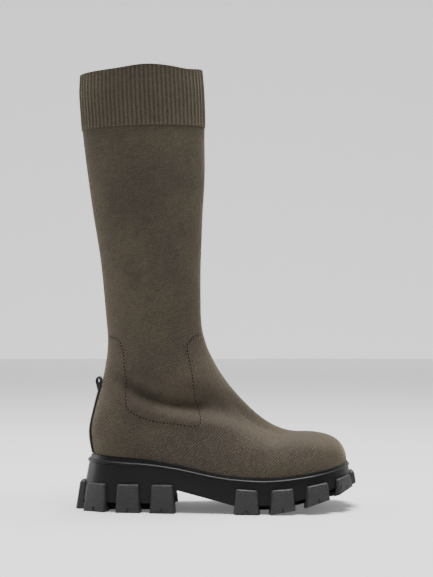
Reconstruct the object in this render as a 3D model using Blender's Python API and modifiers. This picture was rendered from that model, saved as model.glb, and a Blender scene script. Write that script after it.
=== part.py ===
"""Sweater boot: a knitted knee-high sock boot on a moulded lug sole, right foot.

Everything is in metres. +X runs from heel to toe and +Z up from the ground, and the outer side
of the foot is at -Y. The knit is a fan of flat sections: upright across the toes, leaning back
through the instep and nearly level in the shaft. Each section runs from a back or bottom point
to a front or top point, and its two half widths swell in between. The sole, the insole and the
heel tape take their outlines from the same sections.
"""

import math
from collections import namedtuple

import bmesh
import bpy
from mathutils import Vector

# Knit upper and cuff
UPPER_LENGTH = 0.256
BALL_WIDTH = 0.090
HEEL_WIDTH = 0.064
ANKLE_WIDTH = 0.062
ANKLE_RISE = 0.1906
COLLAR_LENGTH = 0.1227
COLLAR_WIDTH = 0.066
BOOT_HEIGHT = 0.4375
RIM_DROP = 0.0065
CUFF_HEIGHT = 0.0588
KNIT_WALL = 0.002
CUFF_WALL = 0.003
RIB_COUNT = 70
RIB_DEPTH = 0.0006

# Toe cap: how far its tip swings to the inner side, and how square its curves are
TOE_SWING = 0.006
TOE_PROFILE_POWER = 3.15
TOE_OUTER_POWER = 2.05
TOE_INNER_POWER = 2.7
SHAFT_POWER = 1.9

# Lip of the sole above the ground, and the cup that it rings
LIP_HEEL = 0.0542
LIP_BALL = 0.0342
LIP_TOE = 0.0460
CUP_DEPTH = 0.011
SOLE_MARGIN = 0.0035
HEEL_FLARE = 0.0054
BEAD_HEIGHT = 0.0042
BEAD_PROUD = 0.0012
GROOVE_WIDTH = 0.0013
GROOVE_DEPTH = 0.003

# Tread
TOE_SPRING = 0.0213
PLATE = 0.003
HEEL_LUG_DEPTH = 0.0055
FORE_LUG_DEPTH = 0.0047
BREAST_HEIGHT = 0.0217
BREAST_FILLET = 0.003
HEEL_LUGS = 3
FORE_LUGS = 4
LUG_FOOT_WIDTH = 0.0235
LUG_TOP_WIDTH = 0.0200
LUG_FOOT_PROUD = 0.0045
LUG_TOP_PROUD = 0.003
LUG_REACH = 0.017
LUG_DRAFT = 0.0012
LUG_BEVEL = 0.0012
REAR_LUG_SCALE = 1.25
BAR_ROOT_SHARE = 0.9
BAR_TIP_SHARE = 0.6
HEEL_LUG_HEIGHT = 0.0272
FORE_LUG_DROP = 0.0112
BLOCK_LENGTH = 0.015
BLOCK_WIDTH = 0.030

# Insole and heel tape
INSOLE = 0.004
INSOLE_CLEAR = 0.0012
TAPE_WIDTH = 0.016
TAPE_THICKNESS = 0.0016
TAPE_RISE = 0.0640
LOOP_HEIGHT = 0.0124
LOOP_DEPTH = 0.0062

# Pieces that touch keep this gap
GAP = 0.0003

# Places along the foot, as shares of the upper's length from the heel
SPRING_START = 0.664
SPRING_POWER = 1.6
ARCH_BACK = 0.3325
ARCH_FRONT = 0.5575
HEEL_BLOCKS = (0.105, 0.225)
FORE_BLOCKS = (0.675, 0.805, 0.918)

# Lip line: the share of the drop from heel to ball that is left, by place along the foot
Step = namedtuple("Step", "along share")
LIP_FALL = [
    Step(along=0.000, share=1.00),
    Step(along=0.100, share=0.93),
    Step(along=0.226, share=0.81),
    Step(along=0.349, share=0.57),
    Step(along=0.473, share=0.22),
    Step(along=0.557, share=0.07),
    Step(along=0.670, share=0.00),
    Step(along=1.000, share=0.00),
]

# How far the lip stands out of the knit, as shares of SOLE_MARGIN
MARGIN = [
    Step(along=0.020, share=1.70),
    Step(along=0.12, share=1.20),
    Step(along=0.30, share=1.00),
    Step(along=0.80, share=1.00),
    Step(along=1.03, share=0.75),
]

# How far the wall leans out from lip to foot, as shares of HEEL_FLARE
FLARE = [
    Step(along=0.025, share=1.00),
    Step(along=0.08, share=0.60),
    Step(along=0.20, share=0.36),
    Step(along=0.85, share=0.25),
    Step(along=1.03, share=0.30),
]

# Sections of the foot, toe to ankle. front and back are places along UPPER_LENGTH, and the two
# rises are heights over the lip line as shares of ANKLE_RISE. outer, inner and swing are shares
# of the named gauge: the half widths to each side of a ridge that swings to the inner side.
# widest is the place of the full width between back and front. under and over are the
# roundness below and above it, where 2 is an ellipse and more is squarer.
Section = namedtuple(
    "Section", "front front_rise back back_rise gauge outer inner swing widest under over"
)
FOOT = [
    Section(0.807, 0.197, 0.807, -0.137, BALL_WIDTH, 0.528, 0.461, 0.033, 0.44, 2.3, 2.35),
    Section(0.757, 0.217, 0.742, -0.138, BALL_WIDTH, 0.539, 0.467, 0.029, 0.43, 2.3, 2.30),
    Section(0.707, 0.252, 0.672, -0.138, BALL_WIDTH, 0.533, 0.461, 0.025, 0.39, 2.3, 2.20),
    Section(0.657, 0.300, 0.594, -0.138, BALL_WIDTH, 0.517, 0.444, 0.020, 0.34, 2.3, 2.10),
    Section(0.607, 0.358, 0.500, -0.137, BALL_WIDTH, 0.483, 0.417, 0.016, 0.30, 2.3, 2.05),
    Section(0.558, 0.424, 0.398, -0.136, BALL_WIDTH, 0.450, 0.383, 0.013, 0.27, 2.3, 2.00),
    Section(0.508, 0.506, 0.281, -0.129, HEEL_WIDTH, 0.586, 0.508, 0.012, 0.27, 2.3, 2.00),
    Section(0.473, 0.582, 0.164, -0.104, HEEL_WIDTH, 0.547, 0.500, 0.008, 0.29, 2.3, 2.00),
    Section(0.452, 0.642, 0.058, -0.070, HEEL_WIDTH, 0.523, 0.500, 0.004, 0.33, 2.3, 2.00),
    Section(0.440, 0.691, 0.022, -0.024, HEEL_WIDTH, 0.508, 0.500, 0.002, 0.37, 2.3, 2.00),
    Section(0.433, 0.738, 0.008, 0.036, HEEL_WIDTH, 0.500, 0.492, 0.000, 0.41, 2.2, 2.00),
    Section(0.430, 0.786, 0.001, 0.109, HEEL_WIDTH, 0.488, 0.484, 0.000, 0.44, 2.1, 2.00),
    Section(0.429, 0.850, 0.020, 0.245, ANKLE_WIDTH, 0.492, 0.492, 0.000, 0.47, 2.0, 1.95),
    Section(0.429, 0.927, 0.055, 0.433, ANKLE_WIDTH, 0.492, 0.492, 0.000, 0.50, 1.9, 1.90),
    Section(0.430, 1.000, 0.066, 0.560, ANKLE_WIDTH, 0.500, 0.500, 0.000, 0.50, 1.9, 1.90),
]

# Sections of the shaft, ankle to rim. The two rises are shares of the way up to the rim, front
# and back are shares of the length gained over the ankle, and half is a share of the gauge.
Ring = namedtuple("Ring", "front_rise back_rise front back gauge half")
SHAFT = [
    Ring(0.09, 0.110, front=0.014, back=0.060, gauge=ANKLE_WIDTH, half=0.502),
    Ring(0.25, 0.288, front=0.050, back=0.210, gauge=COLLAR_WIDTH, half=0.477),
    Ring(0.45, 0.517, front=0.120, back=0.535, gauge=COLLAR_WIDTH, half=0.488),
    Ring(0.62, 0.710, front=0.130, back=0.790, gauge=COLLAR_WIDTH, half=0.496),
    Ring(0.80, 0.858, front=0.121, back=0.915, gauge=COLLAR_WIDTH, half=0.500),
    Ring(0.92, 0.941, front=0.085, back=0.960, gauge=COLLAR_WIDTH, half=0.497),
    Ring(1.00, 1.000, front=0.034, back=0.940, gauge=COLLAR_WIDTH, half=0.490),
]

# Facets
TOE_ROWS = 8
FOOT_ROWS = 15
HEEL_ROWS = 9
SHAFT_ROWS = 8
SEAT_CROWDING = 1.35
ROW_SIDE = 15
CUFF_ROWS = 3
RIM_SIDE = 26
END_CROWDING = 0.5
TAPE_ROWS = 9
TAPE_SIDE = 3
LOOP_STEPS = 18
BISECTIONS = 40

Shape = namedtuple(
    "Shape", "front_x front_z back_x back_z outer inner swing widest under over"
)


# Curves through tables


def eased(knots, values, place):
    """A cubic through the values with no overshoot, held level past both ends."""
    place = min(max(place, knots[0]), knots[-1])
    slopes = [(b - a) / (d - c) for a, b, c, d in zip(values, values[1:], knots, knots[1:])]
    grades = [slopes[0]]
    for before, after in zip(slopes, slopes[1:]):
        level = before * after <= 0
        grades.append(0.0 if level else 2 * before * after / (before + after))
    grades.append(slopes[-1])
    index = 0
    while index < len(knots) - 2 and place > knots[index + 1]:
        index += 1
    return hermite(knots, values, grades, index, place)


def hermite(knots, values, grades, index, place):
    span = knots[index + 1] - knots[index]
    t = (place - knots[index]) / span
    start = (2 * t + 1) * (1 - t) ** 2 * values[index]
    leave = t * (1 - t) ** 2 * span * grades[index]
    end = (3 - 2 * t) * t**2 * values[index + 1]
    arrive = (t - 1) * t**2 * span * grades[index + 1]
    return start + leave + end + arrive


def by_place(table, x):
    """The table's share at a place x along the foot."""
    return eased([row.along for row in table], [row.share for row in table], x / UPPER_LENGTH)


def root_of(rising, low, high):
    """Where a rising function crosses zero, or the end that is nearer to it."""
    for _ in range(BISECTIONS):
        middle = (low + high) / 2
        if rising(middle) < 0:
            low = middle
        else:
            high = middle
    return (low + high) / 2


# Levels along the foot


def toe_rise(x):
    """Share of the toe spring reached at x."""
    share = (x / UPPER_LENGTH - SPRING_START) / (1 - SPRING_START)
    return max(share, 0.0) ** SPRING_POWER


def lip_level(x):
    fall = by_place(LIP_FALL, x)
    return LIP_BALL + (LIP_HEEL - LIP_BALL) * fall + (LIP_TOE - LIP_BALL) * toe_rise(x)


def floor_level(x):
    return lip_level(x) - CUP_DEPTH


def hem_level(x):
    """Bottom edge of the knit, just over the cup's floor."""
    return floor_level(x) + GAP


def tread_level(x):
    return TOE_SPRING * toe_rise(x)


def plate_level(x):
    """Underside of the tread plates, which the lugs stand out of."""
    share = (x / UPPER_LENGTH - ARCH_BACK) / (ARCH_FRONT - ARCH_BACK)
    share = min(max(share, 0.0), 1.0)
    return tread_level(x) + HEEL_LUG_DEPTH + (FORE_LUG_DEPTH - HEEL_LUG_DEPTH) * share


def base_level(x):
    """Underside of the midsole, on top of the tread plates."""
    return plate_level(x) + PLATE + GAP


# Sections of the knit


def foot_shape(row):
    front_x = row.front * UPPER_LENGTH
    back_x = row.back * UPPER_LENGTH
    return Shape(
        front_x=front_x,
        front_z=lip_level(front_x) + row.front_rise * ANKLE_RISE,
        back_x=back_x,
        back_z=lip_level(back_x) + row.back_rise * ANKLE_RISE,
        outer=row.outer * row.gauge,
        inner=row.inner * row.gauge,
        swing=row.swing * row.gauge,
        widest=row.widest,
        under=row.under,
        over=row.over,
    )


def shaft_shape(ring, ankle):
    gain = COLLAR_LENGTH - (ankle.front_x - ankle.back_x)
    rim_back = BOOT_HEIGHT - RIM_DROP
    return Shape(
        front_x=ankle.front_x + ring.front * gain,
        front_z=ankle.front_z + ring.front_rise * (BOOT_HEIGHT - ankle.front_z),
        back_x=ankle.back_x - ring.back * gain,
        back_z=ankle.back_z + ring.back_rise * (rim_back - ankle.back_z),
        outer=ring.half * ring.gauge,
        inner=ring.half * ring.gauge,
        swing=0.0,
        widest=0.5,
        under=SHAFT_POWER,
        over=SHAFT_POWER,
    )


def toe_shape(t):
    """Section of the toe cap, from t = 0 at the first row of the foot to 1 at the tip."""
    start = SHAPES[0]
    tip_z = hem_level(UPPER_LENGTH)
    x = start.front_x + t * (UPPER_LENGTH - start.front_x)
    profile = (1 - t**TOE_PROFILE_POWER) ** (1 / TOE_PROFILE_POWER)
    return start._replace(
        front_x=x,
        front_z=tip_z + (start.front_z - tip_z) * profile,
        back_x=x,
        back_z=tip_z + (start.back_z - tip_z) * profile,
        outer=start.outer * (1 - t**TOE_OUTER_POWER) ** (1 / TOE_OUTER_POWER),
        inner=start.inner * (1 - t**TOE_INNER_POWER) ** (1 / TOE_INNER_POWER),
        swing=start.swing + (TOE_SWING - start.swing) * t,
    )


SHAPES = [foot_shape(row) for row in FOOT]
SHAPES += [shaft_shape(ring, SHAPES[-1]) for ring in SHAFT]
TOE_LENGTH = UPPER_LENGTH - SHAPES[0].front_x
# Share of the toe cap's length at which its own section is fitted in front of the table's
GHOST = 0.3


def stations():
    """Distance of each section along the boot, with one of the toe cap's in front."""
    places = [-GHOST * TOE_LENGTH, 0.0]
    for one, two in zip(SHAPES, SHAPES[1:]):
        front = math.hypot(two.front_x - one.front_x, two.front_z - one.front_z)
        back = math.hypot(two.back_x - one.back_x, two.back_z - one.back_z)
        places.append(places[-1] + (front + back) / 2)
    return places


KNOTS = stations()
ROWS = [toe_shape(GHOST)] + SHAPES
RIM_STATION = KNOTS[-1]
ANKLE_STATION = KNOTS[len(FOOT)]


def grades_of(values):
    """Slopes of a smooth curve through the values at the sections."""
    steps = [(b - a) / (d - c) for a, b, c, d in zip(values, values[1:], KNOTS, KNOTS[1:])]
    grades = [steps[0]]
    for index in range(1, len(values) - 1):
        before = KNOTS[index] - KNOTS[index - 1]
        after = KNOTS[index + 1] - KNOTS[index]
        grades.append((steps[index - 1] * after + steps[index] * before) / (before + after))
    return grades + [steps[-1]]


COLUMNS = list(zip(*ROWS))
GRADES = [grades_of(column) for column in COLUMNS]


def shape_at(station):
    """The section at a distance along the boot: below 0 the toe cap, then foot and shaft."""
    if station < 0:
        return toe_shape(min(-station / TOE_LENGTH, 1.0))
    index = 1
    while index < len(KNOTS) - 2 and station > KNOTS[index + 1]:
        index += 1
    pairs = zip(COLUMNS, GRADES)
    return Shape(*[hermite(KNOTS, column, grades, index, station) for column, grades in pairs])


def on_shape(shape, share, side, width_share):
    """The point at a share of the way from back to front, side -1 outer or 1 inner."""
    half = shape.outer if side < 0 else shape.inner
    return Vector((
        shape.back_x + share * (shape.front_x - shape.back_x),
        shape.swing + side * half * width_share,
        shape.back_z + share * (shape.front_z - shape.back_z),
    ))


def by_angle(shape, angle, side):
    """The point at an angle round the section, 0 at the back and pi at the front."""
    turn = abs(math.cos(angle))
    power = shape.under if angle < math.pi / 2 else shape.over
    if angle < math.pi / 2:
        share = shape.widest * (1 - turn ** (2 / power))
    else:
        share = shape.widest + (1 - shape.widest) * turn ** (2 / power)
    return on_shape(shape, share, side, max(math.sin(angle), 0.0) ** (2 / power))


def angle_of(shape, share):
    if share < shape.widest:
        return math.acos((1 - share / shape.widest) ** (shape.under / 2))
    left = (share - shape.widest) / (1 - shape.widest)
    return math.pi - math.acos(min(left, 1.0) ** (shape.over / 2))


def share_at_level(shape, level):
    """How far from back to front the section passes a level that depends on x."""
    def over_level(share):
        point = on_shape(shape, share, 1, 0.0)
        return point.z - level(point.x)

    return root_of(over_level, 0.0, 1.0) if over_level(0.0) < 0 else 0.0


def heel_station(level):
    """Where the back line of the fan comes up through a level."""
    def over_level(station):
        shape = shape_at(station)
        return shape.back_z - level(shape.back_x)

    return root_of(over_level, 0.0, ANKLE_STATION)


def toe_station(level):
    """Where the front line rises from the toe tip through a level."""
    def over_level(station):
        shape = shape_at(station)
        return shape.front_z - level(shape.front_x)

    return root_of(over_level, -TOE_LENGTH, 0.0)


# Outlines of the knit at a level, which the sole follows


def spread(points, count):
    """The line through the points, in count steps that crowd towards both ends."""
    lengths = [0.0]
    for one, two in zip(points, points[1:]):
        lengths.append(lengths[-1] + (two - one).length)
    result = []
    index = 0
    for step in range(count + 1):
        t = step / count
        share = t - END_CROWDING * math.sin(2 * math.pi * t) / (2 * math.pi)
        place = share * lengths[-1]
        while index < len(points) - 2 and lengths[index + 1] < place:
            index += 1
        part = (place - lengths[index]) / (lengths[index + 1] - lengths[index])
        result.append(points[index].lerp(points[index + 1], part))
    return result


def outline(level):
    """Closed ring where the knit passes a level: toe, outer side, heel, inner side."""
    toe = toe_station(level)
    heel = heel_station(level)
    fine = 4 * RIM_SIDE
    outer = []
    inner = []
    for step in range(fine + 1):
        station = toe + (heel - toe) * (1 - math.cos(math.pi * step / fine)) / 2
        shape = shape_at(station)
        angle = angle_of(shape, share_at_level(shape, level))
        if step == 0:
            angle = math.pi
        outer.append(by_angle(shape, angle, -1))
        inner.append(by_angle(shape, angle, 1))
    inner[0] = outer[0]
    inner[-1] = outer[-1]
    return spread(outer, RIM_SIDE) + spread(inner, RIM_SIDE)[-2:0:-1]


def grown(ring, amount, level):
    """The ring moved out level by amount(x), and set at height level(x)."""
    result = []
    for index, point in enumerate(ring):
        ahead = ring[(index + 1) % len(ring)]
        along = (ahead - ring[index - 1]).to_2d().normalized()
        moved = point.to_2d() + Vector((-along.y, along.x)) * amount(point.x)
        result.append(Vector((moved.x, moved.y, level(moved.x))))
    return result


def bowed(ring):
    """The ring moved out by as much as its straight chords cut into the curve."""
    result = []
    for index, point in enumerate(ring):
        ahead = ring[(index + 1) % len(ring)]
        bow = (ring[index - 1] - 2 * point + ahead).to_2d() / 8
        result.append(Vector((point.x - bow.x, point.y - bow.y, point.z)))
    return result


# Meshes, materials and modifiers


def collection(name):
    made = bpy.data.collections.new(name)
    bpy.context.scene.collection.children.link(made)
    return made


def material(name, colour, roughness):
    made = bpy.data.materials.new(name)
    made.use_nodes = True
    shader = made.node_tree.nodes["Principled BSDF"]
    shader.inputs["Base Color"].default_value = (*colour, 1)
    shader.inputs["Roughness"].default_value = roughness
    return made


def add_object(name, mesh, home):
    made = bpy.data.objects.new(name, mesh)
    home.objects.link(made)
    return made


def mesh_from(name, bm):
    mesh = bpy.data.meshes.new(name)
    bm.to_mesh(mesh)
    bm.free()
    return mesh


def finish(made, look, sharp_angle=40):
    made.data.materials.append(look)
    made.data.shade_smooth()
    made.data.set_sharp_from_angle(angle=math.radians(sharp_angle))
    return made


def as_helper(made):
    made.hide_render = True
    made.display_type = "WIRE"
    return made


def sheet_mesh(name, rows, closed=False):
    """Open sheet through rows of points, facing out where rows go back and points go up."""
    bm = bmesh.new()
    grid = [[bm.verts.new(point) for point in row] for row in rows]
    for near, far in zip(grid, grid[1:]):
        count = len(near) if closed else len(near) - 1
        for index in range(count):
            after = (index + 1) % len(near)
            bm.faces.new((near[index], near[after], far[after], far[index]))
    bmesh.ops.remove_doubles(bm, verts=bm.verts, dist=1e-6)
    bmesh.ops.dissolve_degenerate(bm, edges=bm.edges, dist=1e-6)
    return mesh_from(name, bm)


def loft_mesh(name, rings):
    """Solid through closed rings that start at the toe, with both ends closed."""
    bm = bmesh.new()
    grid = [[bm.verts.new(point) for point in ring] for ring in rings]
    count = len(rings[0])
    for near, far in zip(grid, grid[1:]):
        for index in range(count):
            after = (index + 1) % count
            bm.faces.new((near[index], near[after], far[after], far[index]))
    for ring in (grid[0], grid[-1]):
        for index in range(count // 2):
            corners = (ring[index], ring[index + 1], ring[-index - 1], ring[-index])
            bm.faces.new(dict.fromkeys(corners))
    bmesh.ops.recalc_face_normals(bm, faces=bm.faces)
    return mesh_from(name, bm)


def flat_mesh(name, outlines, half_width):
    """Flat XZ outlines, any after the first being holes, given a width along Y."""
    curve = bpy.data.curves.new(name, "CURVE")
    curve.dimensions = "2D"
    curve.fill_mode = "BOTH"
    curve.extrude = half_width
    for points in outlines:
        spline = curve.splines.new("POLY")
        spline.points.add(len(points) - 1)
        spline.use_cyclic_u = True
        for slot, (x, z) in zip(spline.points, points):
            slot.co = (x, z, 0, 1)
    made = add_object(name, curve, bpy.context.scene.collection)
    made.rotation_euler = (math.pi / 2, 0, 0)
    bpy.context.view_layer.update()
    graph = bpy.context.evaluated_depsgraph_get()
    mesh = bpy.data.meshes.new_from_object(made.evaluated_get(graph))
    mesh.transform(made.matrix_world)
    bpy.data.objects.remove(made)
    bpy.data.curves.remove(curve)
    bm = bmesh.new()
    bm.from_mesh(mesh)
    bmesh.ops.remove_doubles(bm, verts=bm.verts, dist=1e-6)
    bmesh.ops.recalc_face_normals(bm, faces=bm.faces)
    bm.to_mesh(mesh)
    bm.free()
    return mesh


def solidify(made, thickness, offset):
    modifier = made.modifiers.new("wall", "SOLIDIFY")
    modifier.thickness = thickness
    modifier.offset = offset
    modifier.use_even_offset = True
    modifier.use_quality_normals = True


def join_with(made, others):
    modifier = made.modifiers.new("join", "BOOLEAN")
    modifier.operation = "UNION"
    modifier.operand_type = "COLLECTION"
    modifier.collection = others


def cut_by(made, cutter):
    modifier = made.modifiers.new("cut", "BOOLEAN")
    modifier.operation = "DIFFERENCE"
    modifier.object = cutter


# Knit upper: open along its hem inside the cup, closed round the heel from there up


def upper_row(station):
    shape = shape_at(station)
    start = angle_of(shape, share_at_level(shape, hem_level))
    steps = [start + (math.pi - start) * step / ROW_SIDE for step in range(ROW_SIDE + 1)]
    outer = [by_angle(shape, angle, -1) for angle in steps]
    inner = [by_angle(shape, angle, 1) for angle in reversed(steps)]
    return outer + inner[1:]


def cuff_station():
    def over_seam(station):
        return shape_at(station).front_z - (BOOT_HEIGHT - CUFF_HEIGHT)

    return root_of(over_seam, ANKLE_STATION, RIM_STATION)


def between(start, end, count, crowding=1.0):
    """Stations after the start, in count steps that shrink towards the end."""
    shares = [1 - (1 - step / count) ** crowding for step in range(1, count + 1)]
    return [start + (end - start) * share for share in shares]


# Crowding of the rows towards the toe's tip
TIP_CROWDING = 0.8


def build_upper(home, look):
    tip = shape_at(-TOE_LENGTH)
    rows = [[on_shape(tip, 0.0, 1, 0.0)] * (2 * ROW_SIDE + 1)]
    for step in range(TOE_ROWS - 1, -1, -1):
        slant = math.pi / 2 * step / TOE_ROWS
        rows.append(upper_row(-TOE_LENGTH * math.sin(slant) ** TIP_CROWDING))
    seat = heel_station(hem_level)
    places = between(0.0, seat, FOOT_ROWS, SEAT_CROWDING)
    places += between(seat, ANKLE_STATION, HEEL_ROWS)
    places += between(ANKLE_STATION, cuff_station(), SHAFT_ROWS)
    rows += [upper_row(station) for station in places]
    made = add_object("upper", sheet_mesh("upper", rows), home)
    solidify(made, KNIT_WALL, -1)
    return finish(made, look, 80)


# Ribbed cuff


RING_FINENESS = 180


def even_ring(station, count):
    """The closed section at a station, in equal steps of length."""
    shape = shape_at(station)
    angles = [math.pi * step / RING_FINENESS for step in range(RING_FINENESS + 1)]
    points = [by_angle(shape, angle, -1) for angle in angles]
    points += [by_angle(shape, angle, 1) for angle in reversed(angles[:-1])]
    lengths = [0.0]
    for one, two in zip(points, points[1:]):
        lengths.append(lengths[-1] + (two - one).length)
    result = []
    index = 0
    for step in range(count):
        place = lengths[-1] * step / count
        while lengths[index + 1] < place:
            index += 1
        part = (place - lengths[index]) / (lengths[index + 1] - lengths[index])
        result.append(points[index].lerp(points[index + 1], part))
    return result


def ribbed(ring, lift):
    """The ring with every other point moved in by the depth of a rib."""
    result = []
    for index, point in enumerate(ring):
        along = (ring[(index + 1) % len(ring)] - ring[index - 1]).normalized()
        inward = Vector((along.y, -along.x, 0.0)).normalized()
        depth = RIB_DEPTH if index % 2 else 0.0
        result.append(point + inward * depth + Vector((0, 0, lift)))
    return result


def build_cuff(home, look):
    seam = cuff_station()
    rows = [ribbed(even_ring(seam, 2 * RIB_COUNT), GAP)]
    for station in between(seam, RIM_STATION, CUFF_ROWS):
        rows.append(ribbed(even_ring(station, 2 * RIB_COUNT), 0.0))
    made = add_object("cuff", sheet_mesh("cuff", rows, closed=True), home)
    solidify(made, CUFF_WALL, -1)
    return finish(made, look, 60)


# Midsole: wall, rounded lip, groove and cup round the knit, with the arch cut out below


def margin(x):
    return SOLE_MARGIN * by_place(MARGIN, x)


def foot_margin(x):
    """How far the foot of the wall stands out of the knit's outline."""
    return margin(x) + HEEL_FLARE * by_place(FLARE, x)


def waist(x):
    return margin(x) - BEAD_PROUD


# The lip bead's round section, as shares of its height and of how far it stands proud
Round = namedtuple("Round", "drop back")
BEAD = [
    Round(drop=0.85, back=0.30),
    Round(drop=0.55, back=0.00),
    Round(drop=0.20, back=0.35),
    Round(drop=0.02, back=1.20),
]
RIM_DROP_SHARE = 0.12


def midsole_rings(rim):
    rings = [
        grown(rim, foot_margin, base_level),
        grown(rim, waist, lambda x: lip_level(x) - BEAD_HEIGHT),
    ]
    for step in BEAD:
        rings.append(grown(
            rim,
            lambda x, step=step: margin(x) - BEAD_PROUD * step.back,
            lambda x, step=step: lip_level(x) - BEAD_HEIGHT * step.drop,
        ))
    inner = grown(rim, lambda x: GROOVE_WIDTH, lambda x: lip_level(x) - BEAD_HEIGHT * RIM_DROP_SHARE)
    rings.append(inner)
    for share in (0.0, 0.5):
        depth = GROOVE_DEPTH + share * (CUP_DEPTH - GROOVE_DEPTH)

        def level(x, depth=depth):
            return lip_level(x) - depth

        rings.append(grown(bowed(outline(level)), lambda x: GAP, level))
    rings.append(grown(bowed(outline(hem_level)), lambda x: GAP, floor_level))
    return rings


def arch_outline():
    """XZ outline of the hollow between heel and forefoot."""
    back = ARCH_BACK * UPPER_LENGTH
    front = ARCH_FRONT * UPPER_LENGTH
    low = -LIP_BALL
    points = [(front, low), (front, base_level(front))]
    for step in range(4):
        turn = math.pi / 2 * step / 3
        points.append((
            back + BREAST_FILLET * (1 - math.sin(turn)),
            BREAST_HEIGHT - BREAST_FILLET * (1 - math.cos(turn)),
        ))
    return points + [(back, low)]


def build_midsole(home, rim, arch, look):
    made = add_object("midsole", loft_mesh("midsole", midsole_rings(rim)), home)
    cut_by(made, arch)
    return finish(made, look, 50)


# Tread plates with lugs that wrap up over the wall


def walk(ring, side, distance):
    """Place, direction and outward direction at a distance along a ring from its start."""
    step = 1 if side < 0 else -1
    index = 0
    left = distance
    while True:
        here = ring[index * step % len(ring)]
        ahead = ring[(index + 1) * step % len(ring)]
        span = (ahead - here).to_2d()
        if left <= span.length or index > len(ring):
            break
        left -= span.length
        index += 1
    along = span.normalized()
    if distance == 0:
        behind = ring[-step]
        along = (ahead - behind).to_2d().normalized()
    out = Vector((-along.y, along.x)) * step
    return here.to_2d() + along * left, along, out


def block_mesh(name, corner, bevel):
    """A box whose eight corners are given by corner(side, out, up), its outer edges bevelled."""
    bm = bmesh.new()
    bmesh.ops.create_cube(bm, size=2)
    outer = [vert for vert in bm.verts if vert.co.y > 0]
    edges = [edge for edge in bm.edges if all(vert in outer for vert in edge.verts)]
    for vert in bm.verts:
        vert.co = corner(*[round(value) for value in vert.co])
    bm.normal_update()
    bmesh.ops.recalc_face_normals(bm, faces=bm.faces)
    bmesh.ops.bevel(bm, geom=edges, offset=bevel, segments=1, affect="EDGES")
    return mesh_from(name, bm)


def add_lug(name, home, place, top_level, proud_scale):
    """A wrap over the wall and a bar under the sole, both at one place on the rim."""
    centre, along, out = place
    lean = HEEL_FLARE * by_place(FLARE, centre.x)
    wall = lip_level(centre.x) - base_level(centre.x)

    def wrap(side, outward, up):
        half = (LUG_TOP_WIDTH if up > 0 else LUG_FOOT_WIDTH) / 2
        reach = -PLATE
        if outward > 0:
            reach = (LUG_TOP_PROUD if up > 0 else LUG_FOOT_PROUD) * proud_scale
        else:
            half += LUG_DRAFT
        if up > 0:
            reach -= lean * (top_level(centre.x) - base_level(centre.x)) / wall
        spot = centre + along * (side * half) + out * reach
        height = top_level(spot.x) if up > 0 else tread_level(spot.x)
        return Vector((spot.x, spot.y, height))

    def bar(side, outward, up):
        half = LUG_FOOT_WIDTH / 2 * (BAR_ROOT_SHARE if outward < 0 else BAR_TIP_SHARE)
        reach = LUG_DRAFT if outward < 0 else -LUG_REACH
        spot = centre + along * (side * half) + out * reach
        height = plate_level(spot.x) + PLATE / 2 if up > 0 else tread_level(spot.x)
        return Vector((spot.x, spot.y, height))

    as_helper(add_object(f"{name}_wrap", block_mesh(name, wrap, LUG_BEVEL), home))
    as_helper(add_object(f"{name}_bar", block_mesh(name, bar, LUG_BEVEL), home))


def add_block(name, home, ring, along):
    """A block on the middle line, standing out of the plate."""
    x = along * UPPER_LENGTH
    near = sorted(ring, key=lambda point: abs(point.x - x))[:2]
    centre = Vector((x, sum(point.y for point in near) / 2))

    def corner(side, outward, up):
        spot_x = x + side * BLOCK_LENGTH / 2
        height = plate_level(spot_x) + PLATE / 2 if up < 0 else tread_level(spot_x)
        return Vector((spot_x, centre.y + outward * BLOCK_WIDTH / 2, height))

    as_helper(add_object(name, block_mesh(name, corner, LUG_BEVEL), home))


def lug_places(ring, last_x, count):
    """One place at the start of the ring and count more on each side of it, up to last_x."""
    places = [walk(ring, -1, 0)]
    for side in (-1, 1):
        ordered = ring[:] if side < 0 else ring[:1] + ring[:0:-1]
        reach = 0.0
        for here, ahead in zip(ordered, ordered[1:]):
            if (ahead.x - last_x) * (ordered[0].x - last_x) <= 0:
                part = (last_x - here.x) / (ahead.x - here.x)
                reach += (ahead - here).to_2d().length * part
                break
            reach += (ahead - here).to_2d().length
        places += [walk(ring, side, reach * step / count) for step in range(1, count + 1)]
    return places


def heel_lug_top(x):
    return HEEL_LUG_HEIGHT


def fore_lug_top(x):
    return lip_level(x) - FORE_LUG_DROP


def box_from(name, home, low, high):
    bm = bmesh.new()
    bmesh.ops.create_cube(bm, size=1)
    low = Vector(low)
    high = Vector(high)
    for vert in bm.verts:
        vert.co = (low + high) / 2 + Vector(a * b for a, b in zip(vert.co, high - low))
    return as_helper(add_object(name, mesh_from(name, bm), home))


def build_outsole(name, home, rim, jacket, clear, lugs, look):
    """A tread plate with the lugs of one collection, clear of the midsole's blank."""

    def inset(x):
        return foot_margin(x) - GAP

    rings = [
        grown(rim, inset, plate_level),
        grown(rim, inset, lambda x: base_level(x) + PLATE / 2),
    ]
    made = add_object(name, loft_mesh(name, rings), home)
    cut_by(made, clear)
    join_with(made, lugs)
    cut_by(made, jacket)
    return finish(made, look, 30)


def build_jacket(home, rim):
    """The midsole's outside grown by the gap, which the outsoles keep clear of."""
    rings = [
        grown(rim, lambda x: foot_margin(x) + GAP, lambda x: base_level(x) - GAP),
        grown(rim, lambda x: waist(x) + GAP, lambda x: lip_level(x) - BEAD_HEIGHT),
    ]
    return as_helper(add_object("jacket", loft_mesh("jacket", rings), home))


# Insole on the cup's floor


def build_insole(home, look):
    inset = KNIT_WALL + INSOLE_CLEAR

    def bottom(x):
        return floor_level(x) + GAP

    def top(x):
        return floor_level(x) + GAP + INSOLE

    hem = outline(hem_level)
    rings = [grown(hem, lambda x: -inset, bottom), grown(hem, lambda x: -inset, top)]
    made = add_object("insole", loft_mesh("insole", rings), home)
    return finish(made, look, 50)


# Heel tape and its pull loop


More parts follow.
